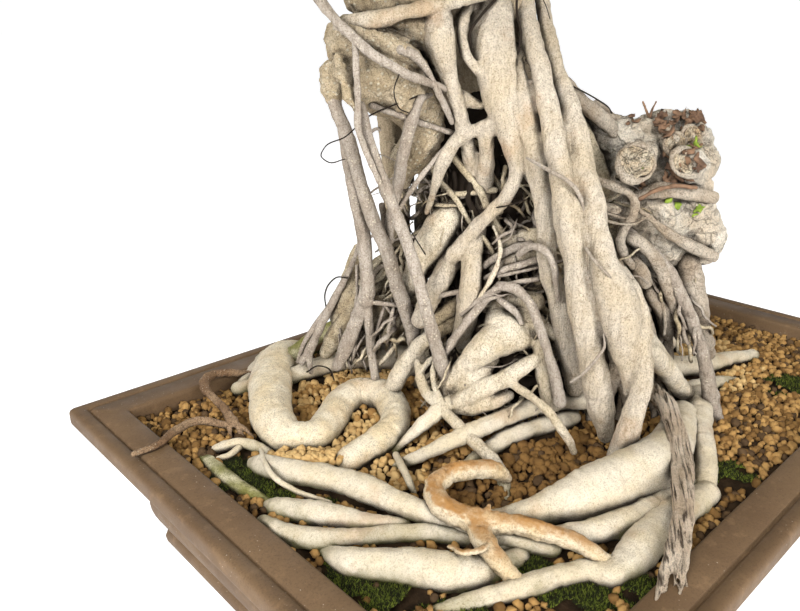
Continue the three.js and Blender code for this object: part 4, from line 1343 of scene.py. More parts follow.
def far_strands():
    """Middling roots that run down the far side of the mound between the columns there."""
    rng = np.random.default_rng(SEED + 12)
    lines = []
    for k in range(FAR_STRANDS):
        turn = math.radians(FAR_STRAND_START + FAR_STRAND_ARC * (k + rng.uniform(0, 1)) / FAR_STRANDS)
        height = rng.uniform(*FAR_STRAND_HEIGHTS)
        drift = rng.normal(0, 0.2)
        thick = rng.uniform(*FAR_STRAND_RADII)
        proud = rng.uniform(2, 9)
        stations = []
        for along in np.linspace(0, 1, 8):
            z = height + (STRAND_FOOT - height) * along
            swing = turn + drift * along + 0.05 * rng.normal()
            out = core_reach(z) + proud * min(1, along * 6) - 2 + 20 * along**3
            stations.append([*round_core(z, swing, out), thick * (0.75 + 0.55 * along**2)])
        lines.append(stations)
    return limbs(lines, 2600, 1, FAR_STRAND_FORM)


def build_tangle():
    """The larger roots between the columns and the ground."""
    shapes = limbs(map(seen, PALE_TANGLE.values()), 900, 7, PALE_FORM)
    skin = fused(shapes, TANGLE_VOXEL, 1)
    piece("pale_tangle", raised(skin, layered(skin[0], *TANGLE_GRIT)), TANGLE, "bark")
    shapes = limbs(map(seen, SHADE_TANGLE.values()), 1050, 7, SHADE_FORM)
    piece("shade_tangle", joined(shapes), SHADE_ROOT, "bark")
    shapes = limbs(map(seen, GREY_TANGLE.values()), 1200, 7, GREY_FORM)
    piece("grey_tangle", joined(shapes), GREY, "grey_bark")
    for k, (name, strands) in enumerate(PROPS.items()):
        shapes = limbs(map(seen, strands), 1500 + 17 * k, 5, PROP_FORM)
        piece(name + "_bark", joined(shapes), GREY, "grey_bark", [name])


def build_thin_roots():
    """The many thin roots of the tangle, and hairs."""
    thin = fill_roots()
    piece("thin_root_fill", joined(thin[::2]), SHADE_ROOT, "bark")
    piece("thin_root_shade", joined(thin[1::2]), DARK_ROOTS_AND_PAINTED_SHADE, "bark")
    piece("far_strands", joined(far_strands()), SHADE_ROOT, "bark")
    crowd = crowd_roots()
    piece("crowd_grey", joined(crowd[::2]), GREY, "grey_bark")
    piece("crowd_shade", joined(crowd[1::2]), SHADE_ROOT, "bark")
    hairs = limbs(map(seen, HAIRS), 1700, 0, HAIR_FORM)
    piece("hair_roots", joined(hairs), DARK_ROOTS_AND_PAINTED_SHADE, "brown_root")


# Roots over the soil: rows [photo x, photo y, height over the soil, photo radius]
PALE_ROOTS = {
    "root_loop": [
        [298, 353, 0, 13], [285, 359, 4, 18], [274, 372, 7, 20.6], [271, 400, 8, 21.2], [276, 425, 7, 20.6],
        [291, 439, 6, 18.4], [312, 438, 6, 16.4], [329, 422, 6, 15.4], [341, 404, 6, 15],
        [358, 393, 6, 14.8], [379, 394, 6, 15.2], [394, 409, 6, 16], [394, 427, 6, 16], [378, 441, 6, 15.6],
        [360, 452, 5, 14.8], [345, 464, 2, 13.2], [335, 474, -4, 9],
    ],
    "root_front_long": [
        [255, 464, 1, 8.4], [264, 465, 5, 11], [282, 470, 7, 12.4], [308, 474, 8, 12.6], [335, 479, 8, 13],
        [362, 488, 8, 13.6], [388, 499, 8, 13.6], [415, 510, 8, 12.2], [440, 518, 7, 10.8],
        [470, 527, 7, 10.8], [505, 537, 6, 10.8], [552, 547, 3, 10],
    ],
    "root_front_second": [
        [270, 506, -1, 7], [279, 507, 2, 9.6], [294, 510, 3, 12], [312, 513, 3, 13], [332, 517, 3, 12.6],
        [352, 521, 3, 11.4], [376, 525, 2, 10], [403, 527, 0, 9],
    ],
    "root_front_third": [
        [263, 522, -1, 7], [271, 527, 2, 9.2], [288, 534, 4, 11], [315, 539, 4, 11.6], [342, 539, 4, 11],
        [372, 536, 3, 9.2], [400, 533, 3, 9], [424, 533, 3, 9.2], [457, 536, 3, 9.4], [480, 540, 2, 9.6],
        [502, 545, 0, 9],
    ],
    "root_front_thick": [
        [327, 552, 0, 7.6], [334, 556, 3, 10.4], [346, 561, 5, 13.2], [364, 563, 5, 15], [390, 565, 5, 17],
        [420, 567, 5, 19.4], [448, 572, 5, 20.4], [474, 573, 4, 17.4], [498, 567, 2, 14],
        [520, 557, -1, 11],
    ],
    "root_right_thick": [
        [490, 517, 2, 7], [506, 516, 5, 9], [528, 512, 8, 12.6], [555, 504, 10, 18], [590, 491, 13, 24.4],
        [622, 480, 14, 26.6], [648, 469, 14, 26.4], [667, 452, 13, 23], [676, 434, 12, 19.4],
        [682, 416, 8, 16],
    ],
    "root_right_under": [
        [490, 552, -2, 6], [506, 548, 1, 8.4], [530, 543, 3, 10.2], [560, 538, 5, 11.6],
        [598, 530, 6, 13.6], [628, 521, 6, 14.4], [648, 511, 7, 13], [664, 500, 6, 11.6], [687, 485, 3, 10],
    ],
    "root_bottom": [
        [434, 612, -3, 6], [452, 607, 0, 7.8], [477, 600, 2, 9.6], [507, 592, 3, 10.8], [533, 584, 3, 11.4],
        [563, 576, 3, 11.4], [590, 572, 3, 12], [609, 574, 4, 13.6], [622, 567, 4, 15.6], [638, 552, 5, 19],
        [653, 537, 5, 18.8], [668, 521, 5, 17.4], [706, 495, 3, 13.6],
    ],
    "root_cross_low": [
        [592, 401, 15, 9.1], [558, 402, 15, 8.6], [525, 410, 15, 9.2], [494, 422, 15, 9.3],
        [469, 433, 15, 9.2], [439, 447, 12, 8], [415, 458, 6, 6.4], [396, 466, -1, 4],
    ],
    "root_cross_under": [
        [573, 418, 4, 8], [538, 427, 5, 9.1], [511, 436, 5, 9.1], [479, 456, 1, 8], [462, 468, -4, 5],
    ],
    "root_diagonal": [
        [529, 355, 26, 8.2], [510, 366, 26, 9], [489, 379, 25, 9.1], [466, 392, 25, 9.1],
        [438, 412, 22, 8.2], [419, 428, 14, 6.6], [404, 442, 5, 4.6], [394, 452, -3, 3],
    ],
    "root_edge": [
        [698, 388, -2, 9], [699, 398, 5, 12], [699, 430, 7, 13.3], [705, 471, 5, 12.4], [704, 492, 1, 11],
    ],
    "root_right_cross": [[656, 401, 3, 6], [691, 389, 6, 8.1], [719, 382, 2, 6], [736, 380, -4, 3]],
    "root_back_pale": [[267, 357, 3, 8.6], [256, 370, 6, 7.8], [241, 386, 3, 5], [232, 394, -2, 3]],
    "root_slip": [
        [261, 450, 9, 2.4], [265, 463, 13, 2.8], [275, 478, 11, 2.8], [296, 491, 6, 2.8],
        [330, 503, 3, 2.4],
    ],
    "root_peg": [[396, 455, 4, 3.4], [403, 469, 8, 4], [411, 486, 5, 3.7], [416, 498, -2, 2.6]],
    "root_stub": [
        [216, 449, 2, 4.6], [225, 446, 4, 5.6], [240, 443, 5, 5.2], [254, 446, 4, 5.4], [269, 452, 1, 5],
    ],
    "root_stub_fork": [[218, 459, 1, 3], [228, 456, 3, 3.4], [239, 448, 4, 3.4]],
}
# Roots of other barks, each with its strands
THIN_ROOTS = {
    "root_orange": [
        [
            [506, 479, 5, 6], [497, 471, 12, 8.4], [472, 470, 17, 9.2], [448, 475, 18, 10],
            [435, 487, 17, 10.4], [440, 504, 16, 11], [460, 516, 15, 11.8], [480, 521, 15, 12.4],
            [504, 523, 15, 11], [530, 528, 15, 9.6], [556, 535, 14, 9], [577, 543, 12, 8.8],
            [592, 551, 11, 8.2], [604, 558, 8, 6.4], [613, 561, 4, 4],
        ],
        [
            [478, 518, 13, 9], [480, 533, 14, 11.6], [487, 548, 13, 12.2], [498, 562, 11, 11.2],
            [509, 573, 8, 9], [519, 582, 4, 6.4], [527, 590, -2, 4],
        ],
        [[498, 560, 11, 7], [507, 577, 7, 5.4], [512, 591, -1, 3]],
        [[450, 547, 14, 2.4], [465, 553, 18, 3], [480, 550, 20, 3.4], [490, 541, 18, 3.4]],
        [[486, 514, 20, 4], [488, 509, 21, 3.4], [489, 506, 22, 2]],
    ],
    "root_strap": [
        [
            [643, 386, 30, 9], [663, 400, 30, 9.2], [674, 424, 27, 8.4], [680, 452, 24, 8],
            [683, 487, 23, 7.6], [682, 522, 20, 6],
        ],
        [
            [641, 390, 31, 4], [659, 402, 33, 4.4], [670, 428, 30, 4.6], [675, 456, 27, 4.6],
            [677, 490, 25, 4.8], [676, 522, 21, 5], [671, 548, 17, 4.6], [664, 574, 12, 3.6],
            [656, 602, 8, 2.4],
        ],
        [
            [650, 386, 31, 4], [668, 402, 33, 4.2], [680, 428, 29, 4.4], [687, 458, 26, 4.4],
            [690, 490, 25, 4.6], [689, 520, 21, 4.6], [687, 546, 17, 4.2], [683, 574, 12, 3.2],
            [679, 598, 8, 2],
        ],
        [
            [655, 396, 34, 3], [671, 416, 33, 3.2], [679, 446, 29, 3.2], [684, 484, 27, 3.2],
            [683, 520, 23, 3], [679, 556, 17, 2.6], [674, 586, 11, 1.8],
        ],
        [
            [647, 392, 33, 2.4], [665, 412, 32, 2.6], [675, 440, 29, 2.8], [679, 474, 27, 2.8],
            [679, 510, 24, 2.6], [675, 546, 19, 2.4], [668, 578, 12, 1.8], [663, 600, 7, 1.2],
        ],
        [
            [660, 396, 32, 2.2], [676, 418, 31, 2.4], [685, 448, 27, 2.4], [688, 484, 25, 2.4],
            [687, 520, 21, 2.4], [684, 552, 16, 2], [685, 580, 10, 1.6], [689, 596, 6, 1],
        ],
    ],
    "root_back_left": [
        [
            [262, 378, 0, 6], [272, 371, 5, 7.6], [310, 341, 22, 7.5], [368, 314, 46, 9.1],
            [433, 301, 60, 10.8],
        ],
    ],
    "root_corner_hook": [
        [
            [252, 374, 8, 3.6], [232, 373, 12, 4], [212, 375, 14, 4.6], [205, 381, 14, 4.8],
            [207, 391, 13, 4.4], [218, 402, 11, 4.2], [228, 413, 9, 4.4], [237, 425, 6, 4],
            [243, 438, 0, 3],
        ],
        [[226, 411, 9, 3], [229, 424, 6, 2.6], [231, 438, 0, 2]],
        [[236, 424, 6, 2.6], [246, 430, 5, 2.2], [254, 438, 1, 1.8]],
    ],
    "root_corner_tip": [
        [[134, 454, 13, 3], [155, 446, 12, 3.8], [175, 431, 11, 4], [198, 421, 9, 4.1], [226, 425, 6, 4]],
    ],
    "root_moss_edge": [
        [
            [200, 455, -4, 4.4], [209, 462, 0, 6.8], [224, 476, 1, 7.8], [240, 487, 1, 7.6],
            [256, 496, 0, 6.6], [270, 504, -3, 5],
        ],
    ],
}
THIN_FINISHES = {
    "root_orange": (ORANGE, "orange_root"),
    "root_strap": (STRAP, "grey_bark"),
    "root_back_left": (MOSSY, "mossy_root"),
    "root_corner_hook": (BROWN, "brown_root"),
    "root_corner_tip": (BROWN, "brown_root"),
    "root_moss_edge": (MOSSY, "mossy_root"),
}
# Forms of the roots' limbs
ROOT_FORM = dict(sides=40, step=1.3, lumps=0.1, rings=0.45, ridges=0.25, grit=0.6)
FAR_ROOT_FORM = dict(sides=30, step=2, lumps=0.12, rings=0.4, grit=0.6)
THIN_FORM = dict(sides=24, step=1.3, lumps=0.12, rings=0.3, ridges=0.4, grit=0.6)
STRAND_VOXEL = 0.8
FAR_ROOT_STATIONS = 5
# Turns of the far roots in degrees, and how far they go in x and y
FAR_ROOT_START = 118
FAR_ROOT_STEP = 26
FAR_ROOT_LIMIT = np.array([236, 154])


def hidden_root(k):
    """A surface root on the far side, by the solids' rule."""
    roll = random_source(SEED * 3 + k)
    turn = math.radians(FAR_ROOT_START - FAR_ROOT_STEP * k + 6 * roll())
    bend = (roll() - 0.5) * 60
    thick = 8 + 6 * roll()
    stations = []
    for along in np.linspace(0, 1, FAR_ROOT_STATIONS):
        out = 62 + along * 118
        sway = bend * math.sin(along * math.pi * 1.4)
        x = BASE[0] + 1.35 * out * math.cos(turn) - sway * math.sin(turn)
        y = BASE[1] + out * math.sin(turn) + sway * math.cos(turn)
        x, y = np.clip([x, y], -FAR_ROOT_LIMIT, FAR_ROOT_LIMIT)
        height = soil_top(x, y) + (1 - along) * 14 + 3
        stations.append([x, y, height, thick * (1 - 0.55 * along)])
    return stations


def strand_skin(name, strands, shapes):
    """Strands of one root fused, with fibres drawn out along the root."""
    skin = fused(shapes, STRAND_VOXEL, 1)
    line = np.array(laid(strands[0]))
    along = unit(line[-1, :3] - line[0, :3])
    stretch, height = (0.92, 0.9) if name == "root_strap" else (0.3, 0.5)
    drawn = skin[0] - stretch * (skin[0] @ along)[:, None] * along
    return raised(skin, layered(drawn, (height, 2.8, 28), (0.4, 1.6, 29)))


def build_roots():
    """Surface roots, each its own piece."""
    for k, (name, stations) in enumerate(PALE_ROOTS.items()):
        shape = limb(laid(stations), seed=200 + 7 * k, **ROOT_FORM)
        finish = LOOP if name == "root_loop" else PALE
        piece(name + "_bark", shape, finish, "bark", [name] if name in NODES else [])
    for k in range(HIDDEN_ROOTS):
        shape = limb(hidden_root(k), seed=340 + 7 * k, **FAR_ROOT_FORM)
        piece(f"root_far_{k + 1}_bark", shape, PALE, "bark", [f"root_far_{k + 1}"])
    for k, (name, strands) in enumerate(THIN_ROOTS.items()):
        shapes = limbs(map(laid, strands), 400 + 7 * k, 1, THIN_FORM)
        shape = strand_skin(name, strands, shapes) if len(shapes) > 1 else shapes[0]
        piece(name + "_bark", shape, *THIN_FINISHES[name], [name] if name in NODES else [])


# Side stump: the cut-back second trunk, lumpy, with sawn faces

STUMP_FOOT = [[14, -26, 105, 46], [20, -29, 150, 36], [30, -36, 205, 31], [38, -40, 240, 30]]
STUMP_LIMBS = [
    [[36, -39, 226, 26], [40, -41, 250, 36], [44, -42, 288, 33], [48, -42, 310, 23]],
    [[62, -40, 262, 26], [76, -46, 300, 18], [84, -48, 316, 12]],
]
# Swellings on the stump's near face: rows [photo x, photo y, distance, photo radius]
STUMP_SWELLINGS = [
    [[656, 160, 500, 26], [646, 161, 476, 23], [638, 162, 459, 20], [637, 162, 455, 18.5]],
    [[690, 160, 490, 24], [690, 163, 466, 19], [689, 163, 458, 16]],
    [[674, 150, 486, 18], [674, 144, 464, 12]], [[694, 142, 488, 16], [692, 137, 466, 11]],
    [[660, 150, 490, 30], [678, 176, 482, 24], [694, 212, 478, 22], [704, 246, 484, 20]],
    [[588, 110, 478, 8], [602, 122, 480, 14], [620, 134, 482, 18], [640, 144, 484, 22]],
    [[600, 132, 486, 12], [612, 150, 488, 15], [624, 168, 490, 15]],
    [[648, 122, 486, 12], [668, 120, 482, 12], [690, 122, 482, 12]],
]
# Roots, and dark twiglets, about the stump: rows [photo x, photo y, distance, photo radius]
STUMP_ROOTS = {
    "stump_hook": [
        [597, 180, 450, 4.4], [607, 184, 452, 4.6], [618, 188, 453, 4.7], [630, 194, 453, 4.8],
        [635, 204, 454, 4.8], [633, 215, 455, 4.8], [626, 227, 457, 4.6], [620, 241, 459, 4.4],
        [624, 254, 461, 4.2], [632, 266, 466, 4],
    ],
    "stump_collar": [[636, 196, 466, 6], [658, 191, 460, 7], [684, 192, 460, 7.2], [712, 198, 466, 7]],
    "stump_slope": [
        [622, 236, 464, 5.6], [636, 241, 462, 6.6], [650, 252, 463, 6.8], [660, 267, 466, 6.8],
        [668, 288, 474, 7], [676, 314, 490, 7.4], [682, 336, 512, 7],
    ],
    "stump_run": [
        [636, 208, 457, 2.4], [648, 217, 457, 3], [662, 229, 458, 4.4], [684, 242, 463, 6],
        [712, 256, 472, 7],
    ],
    "stump_rung_a": [
        [604, 220, 452, 1.4], [620, 224, 453, 1.6], [634, 224, 453, 1.5], [648, 216, 455, 1.4],
    ],
    "stump_rung_b": [[606, 213, 456, 1.3], [622, 218, 456, 1.4], [640, 220, 456, 1.3]],
    "stump_grey": [
        [566, 82, 450, 6.5], [575, 94, 453, 7], [586, 105, 458, 7.4], [600, 117, 466, 7.4],
        [614, 132, 476, 7],
    ],
    "stump_grey_small": [[596, 104, 472, 4], [606, 114, 474, 5], [618, 128, 480, 5]],
    "stump_stub": [[598, 206, 462, 4], [610, 209, 458, 5.6], [616, 210, 457, 5.4]],
    "stump_ball": [[634, 262, 470, 6], [641, 272, 467, 7.6], [646, 282, 472, 6]],
    "stump_low_a": [[606, 236, 466, 5], [616, 258, 466, 6.6], [622, 276, 470, 6]],
    "stump_low_b": [[650, 292, 480, 7], [662, 312, 486, 7.6], [668, 334, 500, 7]],
    "stump_low_c": [[690, 262, 484, 10], [694, 292, 492, 11], [700, 330, 510, 10], [706, 352, 536, 9]],
    "stump_low_d": [[640, 300, 470, 3], [648, 318, 474, 3.2], [654, 338, 486, 3]],
    "stump_low_e": [[662, 302, 480, 2], [665, 318, 482, 2.2], [664, 334, 488, 2]],
}
STUMP_DARK = {
    "dark_run": [
        [640, 199, 452, 1.8], [652, 192, 450, 2.1], [664, 188, 449, 2.1], [678, 186, 449, 2.1],
        [696, 188, 452, 2],
    ],
    "twiglet_a": [[649, 118, 478, 1.6], [646, 110, 478, 1.4], [643, 102, 478, 1]],
    "twiglet_b": [[650, 117, 479, 1.5], [652, 110, 479, 1.3], [656, 102, 479, 1]],
}
PROP_STUMP = [
    [-2, -58, 262, 4], [4, -72, 252, 4], [13, -84, 236, 4], [23, -93, 213, 4.1], [36, -102, 180, 4.6],
    [52, -112, 124, 6],
]
# Forms of the stump's limbs
STUMP_FORM = dict(sides=40, step=3, lumps=0.2, rings=1.0, ridges=2.0)
SWELLING_FORM = dict(sides=24, step=2, lumps=0.16, rings=0.5, ridges=0.8)
STUMP_FOOT_FORM = dict(sides=44, step=2.5, lumps=0.2, rings=1.0, ridges=2.0, grit=1.2)
STUMP_ROOT_FORM = dict(sides=22, step=1.4, lumps=0.2, rings=0.4, ridges=0.5, grit=0.9)
FOOT_ROOT_FORM = dict(sides=14, step=2, lumps=0.2, rings=0.3, ridges=0.3, grit=0.6)
TWIGLET_FORM = dict(sides=14, step=1.4, lumps=0.3, rings=0.3, ridges=0.3)
COLLAR_FORM = dict(sides=16, step=1.2, lumps=0.35, rings=0.4, grit=0.8)
STUMP_PROP_FORM = dict(sides=22, step=1.4, lumps=0.14, rings=0.3, ridges=0.3, grit=0.6)
STUMP_VOXEL = 1.3
# Roots round the stump's foot by rule
STUMP_FOOT_ROOTS = 34
FOOT_ROOT_HEIGHTS = (165, 240)
FOOT_ROOT_RADII = (1.6, 5.0)
FOOT_ROOT_END = 122
FOOT_ROOT_REACH = 33
# Peeling bark and lime moss: photo x range, photo y range, number of flakes
FLAKE_PATCHES = [
    ((656, 704), (112, 132), 44), ((664, 704), (134, 182), 34), ((640, 668), (178, 196), 10),
    ((604, 640), (112, 126), 6),
]
LIME_PATCHES = [
    ((642, 652), (168, 176), 7), ((688, 698), (138, 146), 5), ((670, 680), (198, 204), 3),
    ((692, 700), (208, 213), 3),
]
FLAKE_LENGTHS = (1.6, 4.6)
# Sawn faces: photo x, photo y, photo radius
SCARS = [(637, 162, 17), (689, 163, 13), (674, 143, 10), (692, 136, 9)]
# A sawn face's rings from the middle out: share of the radius, lift
SCAR_PROFILE = [
    (0.14, 0.15), (0.20, 0.04), (0.33, 0.12), (0.39, 0.00), (0.53, 0.10), (0.59, 0.00), (0.72, 0.08),
    (0.80, -0.02), (0.94, 0.06), (1.06, -0.06), (1.14, -0.45),
]
SCAR_SIDES = 56
SCAR_SHARE = 0.92
SCAR_FACING = unit(-CAMERA_AHEAD + [0.05, -0.1, 0.1])
SCAR_SIDE = unit(np.cross(SCAR_FACING, [0, 0, 1.0]))
SCAR_UPWARD = np.cross(SCAR_SIDE, SCAR_FACING)


def in_photo(points):
    """Photo x, photo y and distance ahead of each point."""
    offset = points - CAMERA_PLACE
    ahead = offset @ CAMERA_AHEAD
    x = IMAGE_WIDTH / 2 + FOCAL_PIXELS * (offset @ CAMERA_RIGHT) / ahead
    y = IMAGE_HEIGHT / 2 + FOCAL_PIXELS * (offset @ CAMERA_UNDER) / ahead
    return x, y, ahead


def nearest_on(view, x, y):
    """Index of the foremost point about a photo place."""
    across, down, ahead = view
    close = np.hypot(across - x, down - y)
    reach = max(2.5, close.min() + 0.5)
    return int(np.argmin(np.where(close < reach, ahead, np.inf)))


def scar_ring(angle):
    """Headings out from the middle of a sawn face at the angles."""
    return np.cos(angle)[:, None] * SCAR_SIDE + np.sin(angle)[:, None] * SCAR_UPWARD


def scar(place, radius, seed):
    """A sawn face of rough growth rings turned to the front."""
    ring = scar_ring(np.linspace(0, FULL_TURN, SCAR_SIDES, endpoint=False))
    rough = 1 + 0.2 * noise(ring * 3, 1.6, seed)
    rings = []
    for out, lift in SCAR_PROFILE:
        rings.append(place + ring * (radius * out * rough)[:, None] + SCAR_FACING * radius * lift)
    points, faces = lofted(rings)
    chips = layered(points, (0.22, 3.2, seed), (0.12, 1.3, seed + 1))
    return points + SCAR_FACING * (radius * chips)[:, None], faces


def collar(place, radius, seed):
    """Bark swollen into a ring about a sawn face."""
    angle = np.linspace(0, FULL_TURN, 13)
    thick = radius * (0.26 + 0.1 * np.sin(2 * angle + seed))
    line = place + scar_ring(angle) * radius * 1.16 - SCAR_FACING * radius * 0.34
    return limb(np.c_[line, thick], seed=seed, **COLLAR_FORM)


def flakes(rng, view, corners, normals, patches):
    """Small curled plates lying on the skin."""
    points, faces = icosphere()
    shapes = []
    for (left, right), (top, bottom), count in patches:
        for _ in range(count):
            at = nearest_on(view, rng.uniform(left, right), rng.uniform(top, bottom))
            up = unit(normals[at] + 0.35 * rng.normal(size=3))
            side = unit(np.cross(up, rng.normal(size=3)))
            ahead = np.cross(up, side)
            long = rng.uniform(*FLAKE_LENGTHS)
            x, y, z = (points * (1 + 0.2 * rng.normal(size=(len(points), 1)))).T[..., None]
            plate = x * side + y * ahead * 0.6 + (z * 0.2 + 0.25 * x**2) * up
            shapes.append((corners[at] + up * 0.5 + plate * long, faces))
    return joined(shapes)


def foot_root_lines(rng):
    """Roots that run down round the stump's foot."""
    foot = np.array(STUMP_FOOT[0])
    top = np.array(STUMP_FOOT[-1])
    lines = []
    for _ in range(STUMP_FOOT_ROOTS):
        turn = rng.uniform(0, FULL_TURN)
        height = rng.uniform(*FOOT_ROOT_HEIGHTS)
        drift = rng.normal(0, 0.5)
        thick = rng.uniform(*FOOT_ROOT_RADII)
        stations = []
        for along in np.linspace(0, 1, 6):
            rise = height + (FOOT_ROOT_END - height) * along
            share = (rise - foot[2]) / (top[2] - foot[2])
            middle = foot[:2] + (top - foot)[:2] * share
            out = FOOT_ROOT_REACH + thick * 0.6 + 22 * along**2 + rng.uniform(-2, 5)
            swing = turn + drift * along + 0.1 * rng.normal()
            place = middle + out * np.array([math.cos(swing), math.sin(swing)])
            stations.append([*place, rise, thick])
        lines.append(stations)
    return lines


def stump_skin():
    """The stump's lumpy cracked skin: corners, faces and the normals before cracking."""
    parts = limbs(STUMP_LIMBS, 61, 1, STUMP_FORM)
    parts += limbs(map(seen, STUMP_SWELLINGS), 71, 1, SWELLING_FORM)
    skin = fused(parts, STUMP_VOXEL, 1)
    relief = 2.2 * folded(skin[0], 13, 65) + 1.5 * folded(skin[0], 6, 66)
    relief += 0.8 * noise(skin[0], 2.8, 67) - 1.5
    return *raised(skin, relief), skin[2]


def build_stump():
    """Lumpy old wood with peeling bark, roots round its foot and ringed scars."""
    corners, faces, normals = stump_skin()
    piece("stump_skin", (corners, faces), STUMP, "stump_bark", ["side_stump"])
    view = in_photo(corners)
    # The stump's foot is painted near-black as shade behind the roots round it
    piece("stump_foot", limb(STUMP_FOOT, seed=77, **STUMP_FOOT_FORM), DARK_ROOTS_AND_PAINTED_SHADE, "stump_bark")
    rng = np.random.default_rng(SEED + 5)
    piece("stump_flakes", flakes(rng, view, corners, normals, FLAKE_PATCHES), PEEL, "stump_bark")
    piece("stump_lime", flakes(rng, view, corners, normals, LIME_PATCHES), LIME, "stump_bark")
    shapes = limbs(foot_root_lines(rng), 1350, 7, FOOT_ROOT_FORM)
    shapes += limbs(map(seen, STUMP_ROOTS.values()), 1300, 7, STUMP_ROOT_FORM)
    piece("stump_roots", joined(shapes), STUMP_ROOT, "grey_bark")
    shapes = limbs(map(seen, STUMP_DARK.values()), 1400, 7, TWIGLET_FORM)
    piece("stump_twiglets", joined(shapes), PEEL, "stump_bark")
    scars = []
    collars = []
    for k, (x, y, radius) in enumerate(SCARS):
        at = nearest_on(view, x, y)
        place = corners[at] + CAMERA_AHEAD * 0.6
        size = SCAR_SHARE * radius * view[2][at] / FOCAL_PIXELS
        scars.append(scar(place, size, 31 + k))
        collars.append(collar(place, size, 41 + 3 * k))
    piece("stump_scars", joined(scars), SCAR, "stump_bark")
    piece("stump_collars", joined(collars), STUMP_ROOT, "stump_bark")
    prop = limb(PROP_STUMP, seed=1480, **STUMP_PROP_FORM)
    piece("prop_stump_bark", prop, GREY, "grey_bark", ["prop_stump"])


# Soil bed, grains and moss

BED_COLUMNS = 126
BED_ROWS = 86
BED_GAP = 0.6
BED_DEPTH = 3.0
# Places of golden grains, of brown grains and of moss: x, y, reach
GOLD_PLACES = [
    (-112, 129, 30), (-80, 112, 40), (-129, 89, 26), (-146, 46, 30), (-190, 42, 26), (-125, 9, 22),
    (130, -50, 60), (-160, -8, 22),
]
BROWN_PLACES = [(-88, -68, 42), (-136, -56, 18)]
MOSS_PLACES = [
    (-230, 54, 20), (-236, -52, 14), (-232, -84, 16), (-206, -112, 18), (-168, -146, 18), (-140, -160, 14),
    (-166, -119, 14), (-34, 121, 18), (-71, 152, 16), (-226, 36, 12), (-195, 30, 10), (60, 140, 30),
    (180, 60, 34), (150, -130, 26), (-60, 150, 20), (210, -20, 20), (120, 120, 22), (-10, -150, 22),
]
# Heaps of golden grains: photo middle, photo half sizes, height over the soil, number
GRAIN_HEAPS = [((305, 457), (40, 8), 12, 110), ((352, 372), (36, 9), 4, 60)]
# Moss by photo place: photo x, photo y, reach, with the darkest cushions first
MOSS_SPOTS = [
    (232, 470, 20), (250, 484, 14), (284, 496, 10), (326, 505, 9), (392, 352, 12), (375, 362, 10),
    (318, 352, 14), (505, 560, 12), (590, 592, 16), (640, 590, 18), (350, 590, 16), (395, 600, 16),
]
DARK_MOSS = 2
# Soil under the stump's foot: x, y, reach
STUMP_COVER = (16, -28, 44)
GRAIN_SPACING = 4.9
ROW_SHARE = 0.87
GRAIN_MARGIN = 4
GRAIN_RADII = (1.6, 3.3)
HEAP_RADII = (1.7, 2.7)
BROWN_SWELL = 1.18
# Tones of the grains, in the order of their numbers, and of the moss: two screen colours each
GRAIN_TONES = {
    "gold": ((204, 172, 118), (178, 142, 90)),
    "tan": ((170, 133, 80), (142, 107, 62)),
    "brown": ((126, 94, 53), (98, 71, 39)),
    "dark": ((88, 68, 46), (66, 50, 34)),
}
GOLD, TAN, BROWN_GRAIN, DARK = range(len(GRAIN_TONES))
MOSS_TONES = {
    "black": ((36, 38, 18), (24, 24, 12)),
    "deep": ((46, 50, 17), (32, 37, 12)),
    "bright": ((108, 118, 40), (80, 91, 27)),
}
MOSS_MARGIN = 1.5
MOSS_HUMP = 3.4
BLADE_HEIGHTS = (1.2, 3.0)
BLADE_WIDTHS = (0.3, 0.55)
BLADE_FACES = np.array([[0, 1, 3], [1, 2, 3], [2, 0, 3]])
# Blades in a square millimetre, and the fewer bright ones in the darkest cushions
BLADE_COUNT = 2.6
SHADED_COUNT = 0.4


def near(x, y, places):
    """Largest closeness, 1 at a middle and 0 at the edge, to any of the places."""
    best = np.zeros_like(x)
    for px, py, reach in places:
        best = np.maximum(best, 1 - np.hypot(x - px, y - py) / reach)
    return best


def build_soil():
    """The dark bed under the grains."""
    half_x = INSIDE_X - BED_GAP
    half_y = INSIDE_Y - BED_GAP
    x, y = np.meshgrid(np.linspace(-half_x, half_x, BED_COLUMNS), np.linspace(-half_y, half_y, BED_ROWS))
    flat = np.c_[x.ravel(), y.ravel(), np.zeros(x.size)]
    z = soil_top(flat[:, 0], flat[:, 1]) - BED_DEPTH + layered(flat, (1.2, 14, 31), (0.8, 6, 32))
    i = (np.arange(BED_ROWS - 1)[:, None] * BED_COLUMNS + np.arange(BED_COLUMNS - 1)[None]).reshape(-1)
    above = i + BED_COLUMNS
    faces = np.vstack([np.c_[i, i + 1, above + 1], np.c_[i, above + 1, above]])
    piece("soil_bed", (np.c_[flat[:, :2], z], faces), SOIL, "soil", ["soil"])


